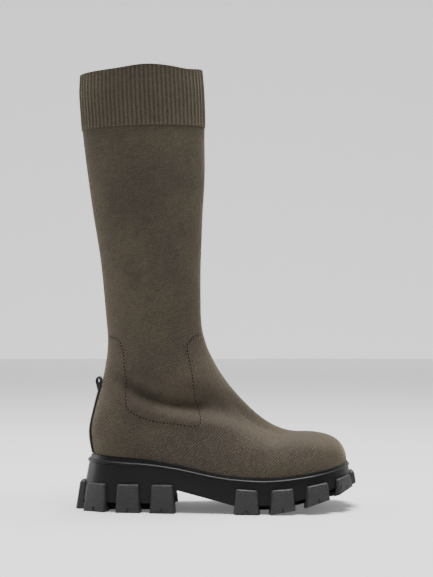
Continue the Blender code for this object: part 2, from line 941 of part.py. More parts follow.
def back_point(station, y):
    """The point of the knit's back at a distance y from the middle."""
    shape = shape_at(station)
    half = shape.outer if y < 0 else shape.inner
    left = (1 - (abs(y) / half) ** shape.under) ** (1 / shape.under)
    point = on_shape(shape, shape.widest * (1 - left), 1, 0.0)
    return Vector((point.x, shape.swing + y, point.z))


def back_normal(station, y):
    reach = TAPE_THICKNESS
    up = back_point(station + reach, y) - back_point(station - reach, y)
    across = back_point(station, y + reach) - back_point(station, y - reach)
    return up.cross(across).normalized()


def back_station(height):
    def over_height(station):
        return shape_at(station).back_z - height

    return root_of(over_height, heel_station(hem_level), RIM_STATION)


# Degrees round the loop at which its outer and inner outlines start
LOOP_START = 12
HOLE_START = 95


def loop_outline(inner):
    """Teardrop in XZ that rests against the knit, or the hole in it."""
    foot = lip_level(0.0) + TAPE_RISE - TAPE_THICKNESS
    start = math.radians(HOLE_START if inner else LOOP_START)
    path = []
    for step in range(LOOP_STEPS + 1):
        angle = start + (2 * math.pi - 2 * start) * step / LOOP_STEPS
        bulge = math.sin(angle / 2) ** 2 * (1 + math.sin(angle)) / 2
        height = foot + LOOP_HEIGHT * (1 - math.cos(angle)) / 2
        knit = shape_at(back_station(height)).back_x
        path.append(Vector((knit - GAP - TAPE_THICKNESS / 2 - LOOP_DEPTH * bulge, height)))
    side = -1 if inner else 1
    result = []
    for index, point in enumerate(path):
        along = path[min(index + 1, LOOP_STEPS)] - path[max(index - 1, 0)]
        out = Vector((-along.y, along.x)).normalized() * side
        result.append(tuple(point + out * TAPE_THICKNESS / 2))
    return result


def build_tape(home, helpers, look):
    bottom = back_station(lip_level(0.0) + GAP)
    top = back_station(lip_level(0.0) + TAPE_RISE)
    rows = []
    for step in range(TAPE_ROWS + 1):
        station = bottom + (top - bottom) * step / TAPE_ROWS
        row = []
        for across in range(TAPE_SIDE, -TAPE_SIDE - 1, -1):
            y = TAPE_WIDTH / 2 * across / TAPE_SIDE
            row.append(back_point(station, y) + back_normal(station, y) * GAP)
        rows.append(row)
    made = add_object("pull_tape", sheet_mesh("pull_tape", rows), home)
    solidify(made, TAPE_THICKNESS, 1)
    loops = collection("loop")
    outlines = [loop_outline(False), loop_outline(True)]
    loop = flat_mesh("pull_loop", outlines, TAPE_WIDTH / 2)
    as_helper(add_object("pull_loop", loop, loops))
    helpers.children.link(loops)
    bpy.context.scene.collection.children.unlink(loops)
    join_with(made, loops)
    return finish(made, look, 50)


def stand_on_origin(parts):
    """Parents all to an empty that puts the middle of the parts' footprint at the origin."""
    bpy.context.view_layer.update()
    graph = bpy.context.evaluated_depsgraph_get()
    points = []
    for made in parts.objects:
        mesh = made.evaluated_get(graph).to_mesh()
        points += [vert.co.copy() for vert in mesh.vertices]
        made.evaluated_get(graph).to_mesh_clear()
    low = [min(point[axis] for point in points) for axis in range(3)]
    high = [max(point[axis] for point in points) for axis in range(3)]
    stand = bpy.data.objects.new("stand", None)
    stand.location = (-(low[0] + high[0]) / 2, -(low[1] + high[1]) / 2, -low[2])
    for made in list(bpy.data.objects):
        if made != stand:
            made.parent = stand
    parts.objects.link(stand)


def main():
    for old in list(bpy.data.objects):
        bpy.data.objects.remove(old)
    knit = material("knit", (0.062, 0.050, 0.038), 0.9)
    rib = material("rib knit", (0.070, 0.058, 0.045), 0.9)
    lining = material("sock lining", (0.02, 0.02, 0.02), 0.8)
    satin = material("satin rubber", (0.012, 0.012, 0.013), 0.35)
    matte = material("matte rubber", (0.03, 0.03, 0.031), 0.6)
    tape = material("woven tape", (0.01, 0.01, 0.01), 0.8)
    parts = collection("sweater_boot")
    helpers = collection("cutters")
    rim = outline(lip_level)
    foot = grown(rim, foot_margin, base_level)
    turned = foot[RIM_SIDE:] + foot[:RIM_SIDE]
    half = BALL_WIDTH
    arch = flat_mesh("arch", [arch_outline()], half)
    arch = as_helper(add_object("arch", arch, helpers))
    jacket = build_jacket(helpers, rim)
    back = ARCH_BACK * UPPER_LENGTH
    front = ARCH_FRONT * UPPER_LENGTH
    past_heel = box_from(
        "past_heel", helpers, (back, -half, -LIP_BALL), (2 * UPPER_LENGTH, half, BOOT_HEIGHT)
    )
    past_fore = box_from(
        "past_forefoot", helpers, (-UPPER_LENGTH, -half, -LIP_BALL), (front, half, BOOT_HEIGHT)
    )
    heel_lugs = collection("heel_lugs")
    fore_lugs = collection("forefoot_lugs")
    last = back - LUG_FOOT_WIDTH / 2
    for index, place in enumerate(lug_places(turned, last, HEEL_LUGS)):
        scale = REAR_LUG_SCALE if index == 0 else 1.0
        add_lug(f"heel_lug_{index}", heel_lugs, place, heel_lug_top, scale)
    last = front + LUG_FOOT_WIDTH / 2
    for index, place in enumerate(lug_places(foot, last, FORE_LUGS)):
        add_lug(f"forefoot_lug_{index}", fore_lugs, place, fore_lug_top, 1.0)
    for index, along in enumerate(HEEL_BLOCKS):
        add_block(f"heel_block_{index}", heel_lugs, foot, along)
    for index, along in enumerate(FORE_BLOCKS):
        add_block(f"forefoot_block_{index}", fore_lugs, foot, along)
    build_upper(parts, knit)
    build_cuff(parts, rib)
    build_insole(parts, lining)
    build_midsole(parts, rim, arch, satin)
    build_outsole("outsole_heel", parts, rim, jacket, past_heel, heel_lugs, matte)
    build_outsole("outsole_forefoot", parts, rim, jacket, past_fore, fore_lugs, matte)
    build_tape(parts, helpers, tape)
    stand_on_origin(parts)


main()
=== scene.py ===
"""Looks of the knitted sock boot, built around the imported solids.

The knit, the cuff and the sole are rebuilt here with a fine mesh on the same sections as the
solids: a fan of flat cuts, upright across the toes, leaning back through the instep and nearly
level in the shaft. Local places are metres from the heel-most knit point on the ground, with +X
to the toe, +Z up and the outer side of the foot at -Y.
"""

import math
from collections import namedtuple

import bmesh
import bpy
import numpy as np
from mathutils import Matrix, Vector


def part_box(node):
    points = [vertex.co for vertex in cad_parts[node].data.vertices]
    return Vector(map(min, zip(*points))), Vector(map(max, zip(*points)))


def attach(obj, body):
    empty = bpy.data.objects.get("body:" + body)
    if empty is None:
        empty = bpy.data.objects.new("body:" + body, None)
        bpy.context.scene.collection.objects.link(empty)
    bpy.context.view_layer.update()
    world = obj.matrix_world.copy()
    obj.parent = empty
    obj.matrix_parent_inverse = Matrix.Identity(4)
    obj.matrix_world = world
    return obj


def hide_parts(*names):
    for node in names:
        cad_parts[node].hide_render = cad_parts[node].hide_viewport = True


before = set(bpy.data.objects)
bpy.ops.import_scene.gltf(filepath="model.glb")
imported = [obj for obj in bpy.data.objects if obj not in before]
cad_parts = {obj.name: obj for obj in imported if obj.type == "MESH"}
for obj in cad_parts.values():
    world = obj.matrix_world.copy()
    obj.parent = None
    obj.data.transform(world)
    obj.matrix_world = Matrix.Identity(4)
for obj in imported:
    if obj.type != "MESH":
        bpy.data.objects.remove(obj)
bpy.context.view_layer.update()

# Sizes of the knit and the sole, as in the solids
UPPER_LENGTH = 0.256
BALL_WIDTH = 0.090
HEEL_WIDTH = 0.064
ANKLE_WIDTH = 0.062
ANKLE_RISE = 0.1906
COLLAR_LENGTH = 0.1227
COLLAR_WIDTH = 0.066
BOOT_HEIGHT = 0.4375
RIM_DROP = 0.0065
CUFF_HEIGHT = 0.0588
KNIT_WALL = 0.002
CUFF_WALL = 0.003
RIB_COUNT = 70
TOE_SWING = 0.006
TOE_PROFILE_POWER = 3.15
TOE_OUTER_POWER = 2.05
TOE_INNER_POWER = 2.7
SHAFT_POWER = 1.9
LIP_HEEL = 0.0542
LIP_BALL = 0.0342
LIP_TOE = 0.0460
CUP_DEPTH = 0.011
SOLE_MARGIN = 0.0035
HEEL_FLARE = 0.0054
BEAD_HEIGHT = 0.0042
BEAD_PROUD = 0.0012
GROOVE_DEPTH = 0.003
TOE_SPRING = 0.0213
PLATE = 0.003
HEEL_LUG_DEPTH = 0.0055
FORE_LUG_DEPTH = 0.0047
BREAST_HEIGHT = 0.0217
BREAST_FILLET = 0.003
HEEL_LUGS = 3
FORE_LUGS = 4
LUG_FOOT_WIDTH = 0.0235
LUG_TOP_WIDTH = 0.0200
LUG_FOOT_PROUD = 0.0045
LUG_TOP_PROUD = 0.003
LUG_REACH = 0.017
LUG_DRAFT = 0.0012
REAR_LUG_SCALE = 1.25
HEEL_LUG_HEIGHT = 0.0272
FORE_LUG_DROP = 0.0112
BLOCK_LENGTH = 0.015
BLOCK_WIDTH = 0.030
INSOLE = 0.004
INSOLE_CLEAR = 0.0012
TAPE_WIDTH = 0.016
TAPE_THICKNESS = 0.0016
TAPE_RISE = 0.0640
LOOP_HEIGHT = 0.0124
LOOP_DEPTH = 0.0062
GAP = 0.0003
SPRING_START = 0.664
ARCH_BACK = 0.3325
ARCH_FRONT = 0.5575
HEEL_BLOCKS = (0.105, 0.225)
FORE_BLOCKS = (0.675, 0.805, 0.918)

# Sizes of the looks alone: deeper ribs and softer lug edges than the solids have, notches, other
# edges, and how far cutters reach below the ground
RIB_DEPTH = 0.0009
LUG_BEVEL = 0.0018
NOTCH_WIDTH = 0.0016
NOTCH_DEPTH = 0.0016
NOTCH_HEIGHT = 0.0050
EDGE = 0.0006
DEEP = 0.03

# Shares by place along the foot: lip drop left, lip margin, and lean of the wall
LIP_FALL = [
    (0, 1), (0.1, 0.93), (0.226, 0.81), (0.349, 0.57), (0.473, 0.22), (0.557, 0.07), (0.67, 0), (1, 0),
]
MARGIN = [(0.02, 1.7), (0.12, 1.2), (0.3, 1), (0.8, 1), (1.03, 0.75)]
FLARE = [(0.025, 1), (0.08, 0.6), (0.2, 0.36), (0.85, 0.25), (1.03, 0.3)]

# Sections of the foot: places along UPPER_LENGTH, rises as shares of ANKLE_RISE over the lip,
# and half widths and swing as shares of the gauge
Section = namedtuple(
    "Section", "front front_rise back back_rise gauge outer inner swing widest under over"
)
FOOT = [
    Section(0.807, 0.197, 0.807, -0.137, BALL_WIDTH, 0.528, 0.461, 0.033, 0.44, 2.3, 2.35),
    Section(0.757, 0.217, 0.742, -0.138, BALL_WIDTH, 0.539, 0.467, 0.029, 0.43, 2.3, 2.30),
    Section(0.707, 0.252, 0.672, -0.138, BALL_WIDTH, 0.533, 0.461, 0.025, 0.39, 2.3, 2.20),
    Section(0.657, 0.300, 0.594, -0.138, BALL_WIDTH, 0.517, 0.444, 0.020, 0.34, 2.3, 2.10),
    Section(0.607, 0.358, 0.500, -0.137, BALL_WIDTH, 0.483, 0.417, 0.016, 0.30, 2.3, 2.05),
    Section(0.558, 0.424, 0.398, -0.136, BALL_WIDTH, 0.450, 0.383, 0.013, 0.27, 2.3, 2.00),
    Section(0.508, 0.506, 0.281, -0.129, HEEL_WIDTH, 0.586, 0.508, 0.012, 0.27, 2.3, 2.00),
    Section(0.473, 0.582, 0.164, -0.104, HEEL_WIDTH, 0.547, 0.500, 0.008, 0.29, 2.3, 2.00),
    Section(0.452, 0.642, 0.058, -0.070, HEEL_WIDTH, 0.523, 0.500, 0.004, 0.33, 2.3, 2.00),
    Section(0.440, 0.691, 0.022, -0.024, HEEL_WIDTH, 0.508, 0.500, 0.002, 0.37, 2.3, 2.00),
    Section(0.433, 0.738, 0.008, 0.036, HEEL_WIDTH, 0.500, 0.492, 0.000, 0.41, 2.2, 2.00),
    Section(0.430, 0.786, 0.001, 0.109, HEEL_WIDTH, 0.488, 0.484, 0.000, 0.44, 2.1, 2.00),
    Section(0.429, 0.850, 0.020, 0.245, ANKLE_WIDTH, 0.492, 0.492, 0.000, 0.47, 2.0, 1.95),
    Section(0.429, 0.927, 0.055, 0.433, ANKLE_WIDTH, 0.492, 0.492, 0.000, 0.50, 1.9, 1.90),
    Section(0.430, 1.000, 0.066, 0.560, ANKLE_WIDTH, 0.500, 0.500, 0.000, 0.50, 1.9, 1.90),
]

# Sections of the shaft: rises as shares of the way up, front and back as shares of the length
# gained over the ankle
Ring = namedtuple("Ring", "front_rise back_rise front back gauge half")
SHAFT = [
    Ring(0.09, 0.110, front=0.014, back=0.060, gauge=ANKLE_WIDTH, half=0.502),
    Ring(0.25, 0.288, front=0.050, back=0.210, gauge=COLLAR_WIDTH, half=0.477),
    Ring(0.45, 0.517, front=0.120, back=0.535, gauge=COLLAR_WIDTH, half=0.488),
    Ring(0.62, 0.710, front=0.130, back=0.790, gauge=COLLAR_WIDTH, half=0.496),
    Ring(0.80, 0.858, front=0.121, back=0.915, gauge=COLLAR_WIDTH, half=0.500),
    Ring(0.92, 0.941, front=0.085, back=0.960, gauge=COLLAR_WIDTH, half=0.497),
    Ring(1.00, 1.000, front=0.034, back=0.940, gauge=COLLAR_WIDTH, half=0.490),
]

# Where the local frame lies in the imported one
upper_low, upper_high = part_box("upper")
cuff_low, cuff_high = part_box("cuff")
ORIGIN = np.array([upper_high.x - UPPER_LENGTH, (cuff_low.y + cuff_high.y) / 2, 0.0])


# Curves through tables


def grades_eased(knots, values):
    slopes = np.diff(values) / np.diff(knots)
    product = slopes[:-1] * slopes[1:]
    total = np.where(product > 0, slopes[:-1] + slopes[1:], 1.0)
    middle = np.where(product > 0, 2 * product / total, 0.0)
    return np.concatenate([slopes[:1], middle, slopes[-1:]])


def grades_smooth(knots, values):
    steps = np.diff(knots)
    slopes = np.diff(values) / steps
    middle = (slopes[:-1] * steps[1:] + slopes[1:] * steps[:-1]) / (steps[:-1] + steps[1:])
    return np.concatenate([slopes[:1], middle, slopes[-1:]])


def hermite(knots, values, grades, places):
    index = np.clip(np.searchsorted(knots, places, side="right") - 1, 0, len(knots) - 2)
    span = knots[index + 1] - knots[index]
    t = (places - knots[index]) / span
    start = (2 * t + 1) * (1 - t) ** 2 * values[index]
    leave = t * (1 - t) ** 2 * span * grades[index]
    end = (3 - 2 * t) * t**2 * values[index + 1]
    arrive = (t - 1) * t**2 * span * grades[index + 1]
    return start + leave + end + arrive


def table_curve(table):
    knots, values = np.array(table, float).T
    grades = grades_eased(knots, values)
    return lambda x: hermite(
        knots, values, grades, np.clip(np.asarray(x) / UPPER_LENGTH, knots[0], knots[-1])
    )


fall_share = table_curve(LIP_FALL)
margin_share = table_curve(MARGIN)
flare_share = table_curve(FLARE)


# Levels along the foot


def spring(x):
    share = (np.asarray(x) / UPPER_LENGTH - SPRING_START) / (1 - SPRING_START)
    return np.maximum(share, 0.0) ** 1.6


def lip_level(x):
    return LIP_BALL + (LIP_HEEL - LIP_BALL) * fall_share(x) + (LIP_TOE - LIP_BALL) * spring(x)


def hem_level(x):
    return lip_level(x) - CUP_DEPTH + GAP


def tread_level(x):
    return TOE_SPRING * spring(x)


def plate_level(x):
    share = (np.asarray(x) / UPPER_LENGTH - ARCH_BACK) / (ARCH_FRONT - ARCH_BACK)
    depth = HEEL_LUG_DEPTH + (FORE_LUG_DEPTH - HEEL_LUG_DEPTH) * np.clip(share, 0, 1)
    return tread_level(x) + depth


def base_level(x):
    return plate_level(x) + PLATE + GAP


def margin(x):
    return SOLE_MARGIN * margin_share(x)


def foot_margin(x):
    return margin(x) + HEEL_FLARE * flare_share(x)


# Sections of the knit as arrays, one row of values for each section


def foot_row(row):
    front = row.front * UPPER_LENGTH
    back = row.back * UPPER_LENGTH
    return [
        front,
        float(lip_level(front)) + row.front_rise * ANKLE_RISE,
        back,
        float(lip_level(back)) + row.back_rise * ANKLE_RISE,
        row.outer * row.gauge,
        row.inner * row.gauge,
        row.swing * row.gauge,
        row.widest,
        row.under,
        row.over,
    ]


def shaft_row(ring, ankle):
    gain = COLLAR_LENGTH - (ankle[0] - ankle[2])
    half = ring.half * ring.gauge
    return [
        ankle[0] + ring.front * gain,
        ankle[1] + ring.front_rise * (BOOT_HEIGHT - ankle[1]),
        ankle[2] - ring.back * gain,
        ankle[3] + ring.back_rise * (BOOT_HEIGHT - RIM_DROP - ankle[3]),
        half,
        half,
        0.0,
        0.5,
        SHAFT_POWER,
        SHAFT_POWER,
    ]


ROWS = [foot_row(row) for row in FOOT]
ROWS += [shaft_row(ring, ROWS[-1]) for ring in SHAFT]
START = np.array(ROWS[0])
TOE_LENGTH = UPPER_LENGTH - START[0]
# Share of the toe's length where a helping section lies, so that toe cap and foot run on smoothly
GHOST = 0.3


def toe_rows(t):
    """Sections of the toe cap, from t = 0 at the first row of the foot to 1 at the tip."""
    t = np.clip(t, 0, 1)
    tip = float(hem_level(UPPER_LENGTH))
    profile = (1 - t**TOE_PROFILE_POWER) ** (1 / TOE_PROFILE_POWER)
    rows = np.repeat(START[None, :], len(t), 0)
    rows[:, 0] = rows[:, 2] = START[0] + t * TOE_LENGTH
    rows[:, 1] = tip + (START[1] - tip) * profile
    rows[:, 3] = tip + (START[3] - tip) * profile
    rows[:, 4] = START[4] * (1 - t**TOE_OUTER_POWER) ** (1 / TOE_OUTER_POWER)
    rows[:, 5] = START[5] * (1 - t**TOE_INNER_POWER) ** (1 / TOE_INNER_POWER)
    rows[:, 6] = START[6] + (TOE_SWING - START[6]) * t
    return rows


TABLE = np.vstack([toe_rows(np.array([GHOST])), np.array(ROWS)])
front_steps = np.hypot(*np.diff(TABLE[1:, 0:2], axis=0).T)
back_steps = np.hypot(*np.diff(TABLE[1:, 2:4], axis=0).T)
KNOTS = np.concatenate([[-GHOST * TOE_LENGTH, 0.0], np.cumsum((front_steps + back_steps) / 2)])
GRADES = [grades_smooth(KNOTS, column) for column in TABLE.T]
RIM_STATION = KNOTS[-1]
ANKLE_STATION = KNOTS[len(FOOT)]


def sections(stations):
    """One row of section values for each station along the boot."""
    stations = np.atleast_1d(stations)
    body = np.maximum(stations, 0.0)
    rows = np.stack(
        [hermite(KNOTS, column, grade, body) for column, grade in zip(TABLE.T, GRADES)], 1
    )
    toe = toe_rows(-np.minimum(stations, 0.0) / TOE_LENGTH)
    return np.where(stations[:, None] < 0, toe, rows)


def points_on(rows, share, width, side):
    """Points at a share of the way from back to front, side -1 outer or 1 inner."""
    half = np.where(side < 0, rows[..., 4], rows[..., 5])
    x = rows[..., 2] + share * (rows[..., 0] - rows[..., 2])
    y = rows[..., 6] + side * half * width
    z = rows[..., 3] + share * (rows[..., 1] - rows[..., 3])
    return np.stack(np.broadcast_arrays(x, y, z), -1)


def points_by_angle(rows, angle, side):
    """Points at an angle round each section, 0 at the back and pi at the front."""
    below = angle < math.pi / 2
    power = np.where(below, rows[..., 8], rows[..., 9])
    turn = np.abs(np.cos(angle)) ** (2 / power)
    widest = rows[..., 7]
    share = np.where(below, widest * (1 - turn), widest + (1 - widest) * turn)
    width = np.clip(np.sin(angle), 0, 1) ** (2 / power)
    return points_on(rows, share, width, side)


def angle_at(rows, share):
    widest = rows[..., 7]
    low = np.clip(1 - share / widest, 0, 1) ** (rows[..., 8] / 2)
    high = np.clip((share - widest) / (1 - widest), 0, 1) ** (rows[..., 9] / 2)
    return np.where(share < widest, np.arccos(low), math.pi - np.arccos(high))


def bisect(rising, low, high, rounds=45):
    low = np.array(low, float)
    high = np.array(high, float)
    for _ in range(rounds):
        middle = (low + high) / 2
        under = rising(middle) < 0
        low = np.where(under, middle, low)
        high = np.where(under, high, middle)
    return (low + high) / 2


def share_at(rows, level):
    def over(share):
        point = points_on(rows, share, 0.0, 1.0)
        return point[..., 2] - level(point[..., 0])

    zero = np.zeros(len(rows))
    return np.where(over(zero) < 0, bisect(over, zero, zero + 1), 0.0)


def station_where(value, low, high):
    return float(bisect(lambda s: value(sections(s))[0], [low], [high])[0])


def heel_station(level):
    return station_where(lambda r: r[:, 3] - level(r[:, 2]), 0.0, ANKLE_STATION)


def toe_station(level):
    return station_where(lambda r: r[:, 1] - level(r[:, 0]), -TOE_LENGTH, 0.0)


def back_station(height):
    return station_where(lambda r: r[:, 3] - height, heel_station(hem_level), RIM_STATION)


CUFF_STATION = station_where(
    lambda r: r[:, 1] - (BOOT_HEIGHT - CUFF_HEIGHT), ANKLE_STATION, RIM_STATION
)


# Outlines of the knit at a level, which the sole follows


def lengths_along(points):
    steps = np.linalg.norm(np.diff(points, axis=0), axis=1)
    return np.concatenate([[0], np.cumsum(steps)])


def spread(points, count, crowding):
    lengths = lengths_along(points)
    t = np.linspace(0, 1, count + 1)
    places = (t - crowding * np.sin(2 * math.pi * t) / (2 * math.pi)) * lengths[-1]
    return np.stack([np.interp(places, lengths, column) for column in points.T], 1)


def outline(level, side_count=120, crowding=0.5):
    """Closed ring where the knit passes a level: toe, outer side, heel, inner side."""
    toe = toe_station(level)
    heel = heel_station(level)
    turn = (1 - np.cos(np.linspace(0, math.pi, 600))) / 2
    rows = sections(toe + (heel - toe) * turn)
    angle = angle_at(rows, share_at(rows, level))
    angle[0] = math.pi
    outer = points_by_angle(rows, angle, -1.0)
    inner = points_by_angle(rows, angle, 1.0)
    inner[0] = outer[0]
    inner[-1] = outer[-1]
    outer = spread(outer, side_count, crowding)
    inner = spread(inner, side_count, crowding)
    return np.vstack([outer, inner[-2:0:-1]])


def grown(ring, amount, level):
    """The ring moved out level by amount(x), and set at height level(x)."""
    along = np.roll(ring, -1, 0) - np.roll(ring, 1, 0)
    along /= np.linalg.norm(along[:, :2], axis=1)[:, None]
    x = ring[:, 0] - along[:, 1] * amount(ring[:, 0])
    y = ring[:, 1] + along[:, 0] * amount(ring[:, 0])
    return np.stack([x, y, level(x)], 1)


def const(value):
    return lambda x: np.full(np.shape(x), value)


# Meshes


def new_object(name, mesh):
    made = bpy.data.objects.new(name, mesh)
    bpy.context.scene.collection.objects.link(made)
    return made


def placed(mesh):
    """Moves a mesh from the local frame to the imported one."""
    count = len(mesh.vertices)
    flat = np.empty(count * 3)
    mesh.vertices.foreach_get("co", flat)
    mesh.vertices.foreach_set("co", (flat.reshape(-1, 3) + ORIGIN).ravel())
    mesh.update()
    return mesh


def grid_mesh(name, points, uv=None):
    """Mesh of a grid of points, facing out where rows go back and points go up."""
    rows, count = points.shape[:2]
    mesh = bpy.data.meshes.new(name)
    index = np.arange(rows * count).reshape(rows, count)
    corners = [index[:-1, :-1], index[:-1, 1:], index[1:, 1:], index[1:, :-1]]
    faces = np.stack(corners, -1).reshape(-1, 4)
    mesh.from_pydata(points.reshape(-1, 3).tolist(), [], faces.tolist())
    if uv is not None:
        layer = mesh.uv_layers.new(name="ribs")
        steps = np.stack([uv[:-1, :-1], uv[:-1, 1:], uv[1:, 1:], uv[1:, :-1]], 2)
        layer.data.foreach_set("uv", steps.reshape(-1, 2).astype(np.float32).ravel())
    return mesh


def mesh_from(bm, name):
    mesh = bpy.data.meshes.new(name)
    bm.to_mesh(mesh)
    bm.free()
    return mesh


def loft_mesh(name, rings):
    """Solid through closed rings that start at the toe, with both ends closed."""
    bm = bmesh.new()
    grid = [[bm.verts.new(point) for point in ring] for ring in rings]
    count = len(rings[0])
    for near, far in zip(grid, grid[1:]):
        for index in range(count):
            after = (index + 1) % count
            bm.faces.new((near[index], near[after], far[after], far[index]))
    for ring in (grid[0], grid[-1]):
        for index in range(count // 2):
            corners = (ring[index], ring[index + 1], ring[-index - 1], ring[-index])
            bm.faces.new(dict.fromkeys(corners))
    bmesh.ops.recalc_face_normals(bm, faces=bm.faces)
    return mesh_from(bm, name)


def flat_mesh(name, outlines, half_width):
    """Flat XZ outlines, any after the first being holes, given a width along Y."""
    curve = bpy.data.curves.new(name, "CURVE")
    curve.dimensions = "2D"
    curve.fill_mode = "BOTH"
    curve.extrude = half_width
    for points in outlines:
        spline = curve.splines.new("POLY")
        spline.points.add(len(points) - 1)
        spline.use_cyclic_u = True
        for slot, (x, z) in zip(spline.points, points):
            slot.co = (x, z, 0, 1)
    made = new_object(name, curve)
    made.rotation_euler = (math.pi / 2, 0, 0)
    bpy.context.view_layer.update()
    graph = bpy.context.evaluated_depsgraph_get()
    mesh = bpy.data.meshes.new_from_object(made.evaluated_get(graph))
    mesh.transform(made.matrix_world)
    bpy.data.objects.remove(made)
    bm = bmesh.new()
    bm.from_mesh(mesh)
    bmesh.ops.remove_doubles(bm, verts=bm.verts, dist=1e-6)
    bmesh.ops.recalc_face_normals(bm, faces=bm.faces)
    bm.to_mesh(mesh)
    bm.free()
    return mesh


def welded(mesh):
    """Joins the points that fall together and drops the faces that this leaves empty."""
    bm = bmesh.new()
    bm.from_mesh(mesh)
    bmesh.ops.remove_doubles(bm, verts=bm.verts, dist=1e-6)
    bmesh.ops.dissolve_degenerate(bm, edges=bm.edges, dist=1e-7)
    bm.to_mesh(mesh)
    bm.free()
    return mesh


def applied(made):
    """Gives the object its evaluated mesh and drops its modifiers."""
    bpy.context.view_layer.update()
    graph = bpy.context.evaluated_depsgraph_get()
    mesh = bpy.data.meshes.new_from_object(made.evaluated_get(graph))
    made.modifiers.clear()
    made.data = mesh
    return made


def thickened(made, wall, offset):
    """Gives a sheet its wall, inward with offset -1 and outward with 1."""
    modifier = made.modifiers.new("wall", "SOLIDIFY")
    modifier.thickness = wall
    modifier.offset = offset
    return applied(made)


def boolean(made, others, operation):
    """Joins or cuts the object with others, which are then removed."""
    group = bpy.data.collections.new("operands")
    bpy.context.scene.collection.children.link(group)
    for other in others:
        group.objects.link(other)
    modifier = made.modifiers.new(operation, "BOOLEAN")
    modifier.operation = operation
    modifier.operand_type = "COLLECTION"
    modifier.collection = group
    modifier.material_mode = "TRANSFER"
    applied(made)
    for other in others:
        bpy.data.objects.remove(other)
    bpy.data.collections.remove(group)
    return made


def dress(made, look, slot, *nodes, sharp=None):
    """Material, shading and body of a finished piece; slot is not used."""
    if look:
        made.data.materials.clear()
        made.data.materials.append(look)
    made.data.shade_smooth()
    if sharp:
        made.data.set_sharp_from_angle(angle=math.radians(sharp))
    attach(made, "root")
    if nodes:
        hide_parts(*nodes)
    return made


# Materials


class Nodes:
    """Short hand for building a node tree."""

    def __init__(self, name):
        self.material = bpy.data.materials.new(name)
        self.material.use_nodes = True
        self.tree = self.material.node_tree
        self.shader = self.tree.nodes["Principled BSDF"]

    def add(self, kind, **inputs):
        node = self.tree.nodes.new(kind)
        for key, value in inputs.items():
            self.set(node.inputs[key.replace("_", " ")], value)
        return node

    def set(self, socket, value):
        if isinstance(value, bpy.types.NodeSocket):
            self.tree.links.new(value, socket)
        else:
            socket.default_value = value

    def math(self, operation, *values):
        node = self.add("ShaderNodeMath")
        node.operation = operation
        for socket, value in zip(node.inputs, values):
            self.set(socket, value)
        return node.outputs[0]

    def blend(self, factor, one, two):
        """Goes from one number to another."""
        node = self.add("ShaderNodeMix")
        for index, value in zip((0, 2, 3), (factor, one, two)):
            self.set(node.inputs[index], value)
        return node.outputs[0]

    def mix(self, factor, one, two):
        """Goes from one colour to another."""
        node = self.add("ShaderNodeMix")
        node.data_type = "RGBA"
        for index, value in zip((0, 6, 7), (factor, one, two)):
            self.set(node.inputs[index], value)
        return node.outputs[2]

    def noise(self, scale, detail):
        node = self.add("ShaderNodeTexNoise", Scale=scale, Detail=detail, Vector=self.place())
        return node.outputs["Fac"]

    def place(self):
        return self.add("ShaderNodeTexCoord").outputs["Object"]

    def parts(self, vector):
        return self.add("ShaderNodeSeparateXYZ", Vector=vector).outputs

    def wave(self, turns):
        """A smooth wave that repeats once a turn."""
        return self.math("COSINE", self.math("MULTIPLY", turns, 2 * math.pi))

    def look(self, **inputs):
        """Sets the inputs of the shader."""
        for key, value in inputs.items():
            self.set(self.shader.inputs[key.replace("_", " ")], value)
        return self.material

    def bump(self, height, strength, distance, normal=None):
        node = self.add("ShaderNodeBump", Height=height, Strength=strength, Distance=distance)
        if normal:
            self.set(node.inputs["Normal"], normal)
        return node.outputs[0]

    def ramp(self, value, low, high):
        """Where a value lies between low, which gives 0, and high, which gives 1."""
        return self.add("ShaderNodeMapRange", Value=value, From_Min=low, From_Max=high).outputs[0]


def rgb(red, green, blue):
    """Linear colour from values as they look on screen, 0 to 255."""
    def linear(value):
        value /= 255
        return value / 12.92 if value < 0.04045 else ((value + 0.055) / 1.055) ** 2.4

    return (linear(red), linear(green), linear(blue), 1.0)


def brighter(colour, times):
    return [part * times for part in colour[:3]] + [1.0]


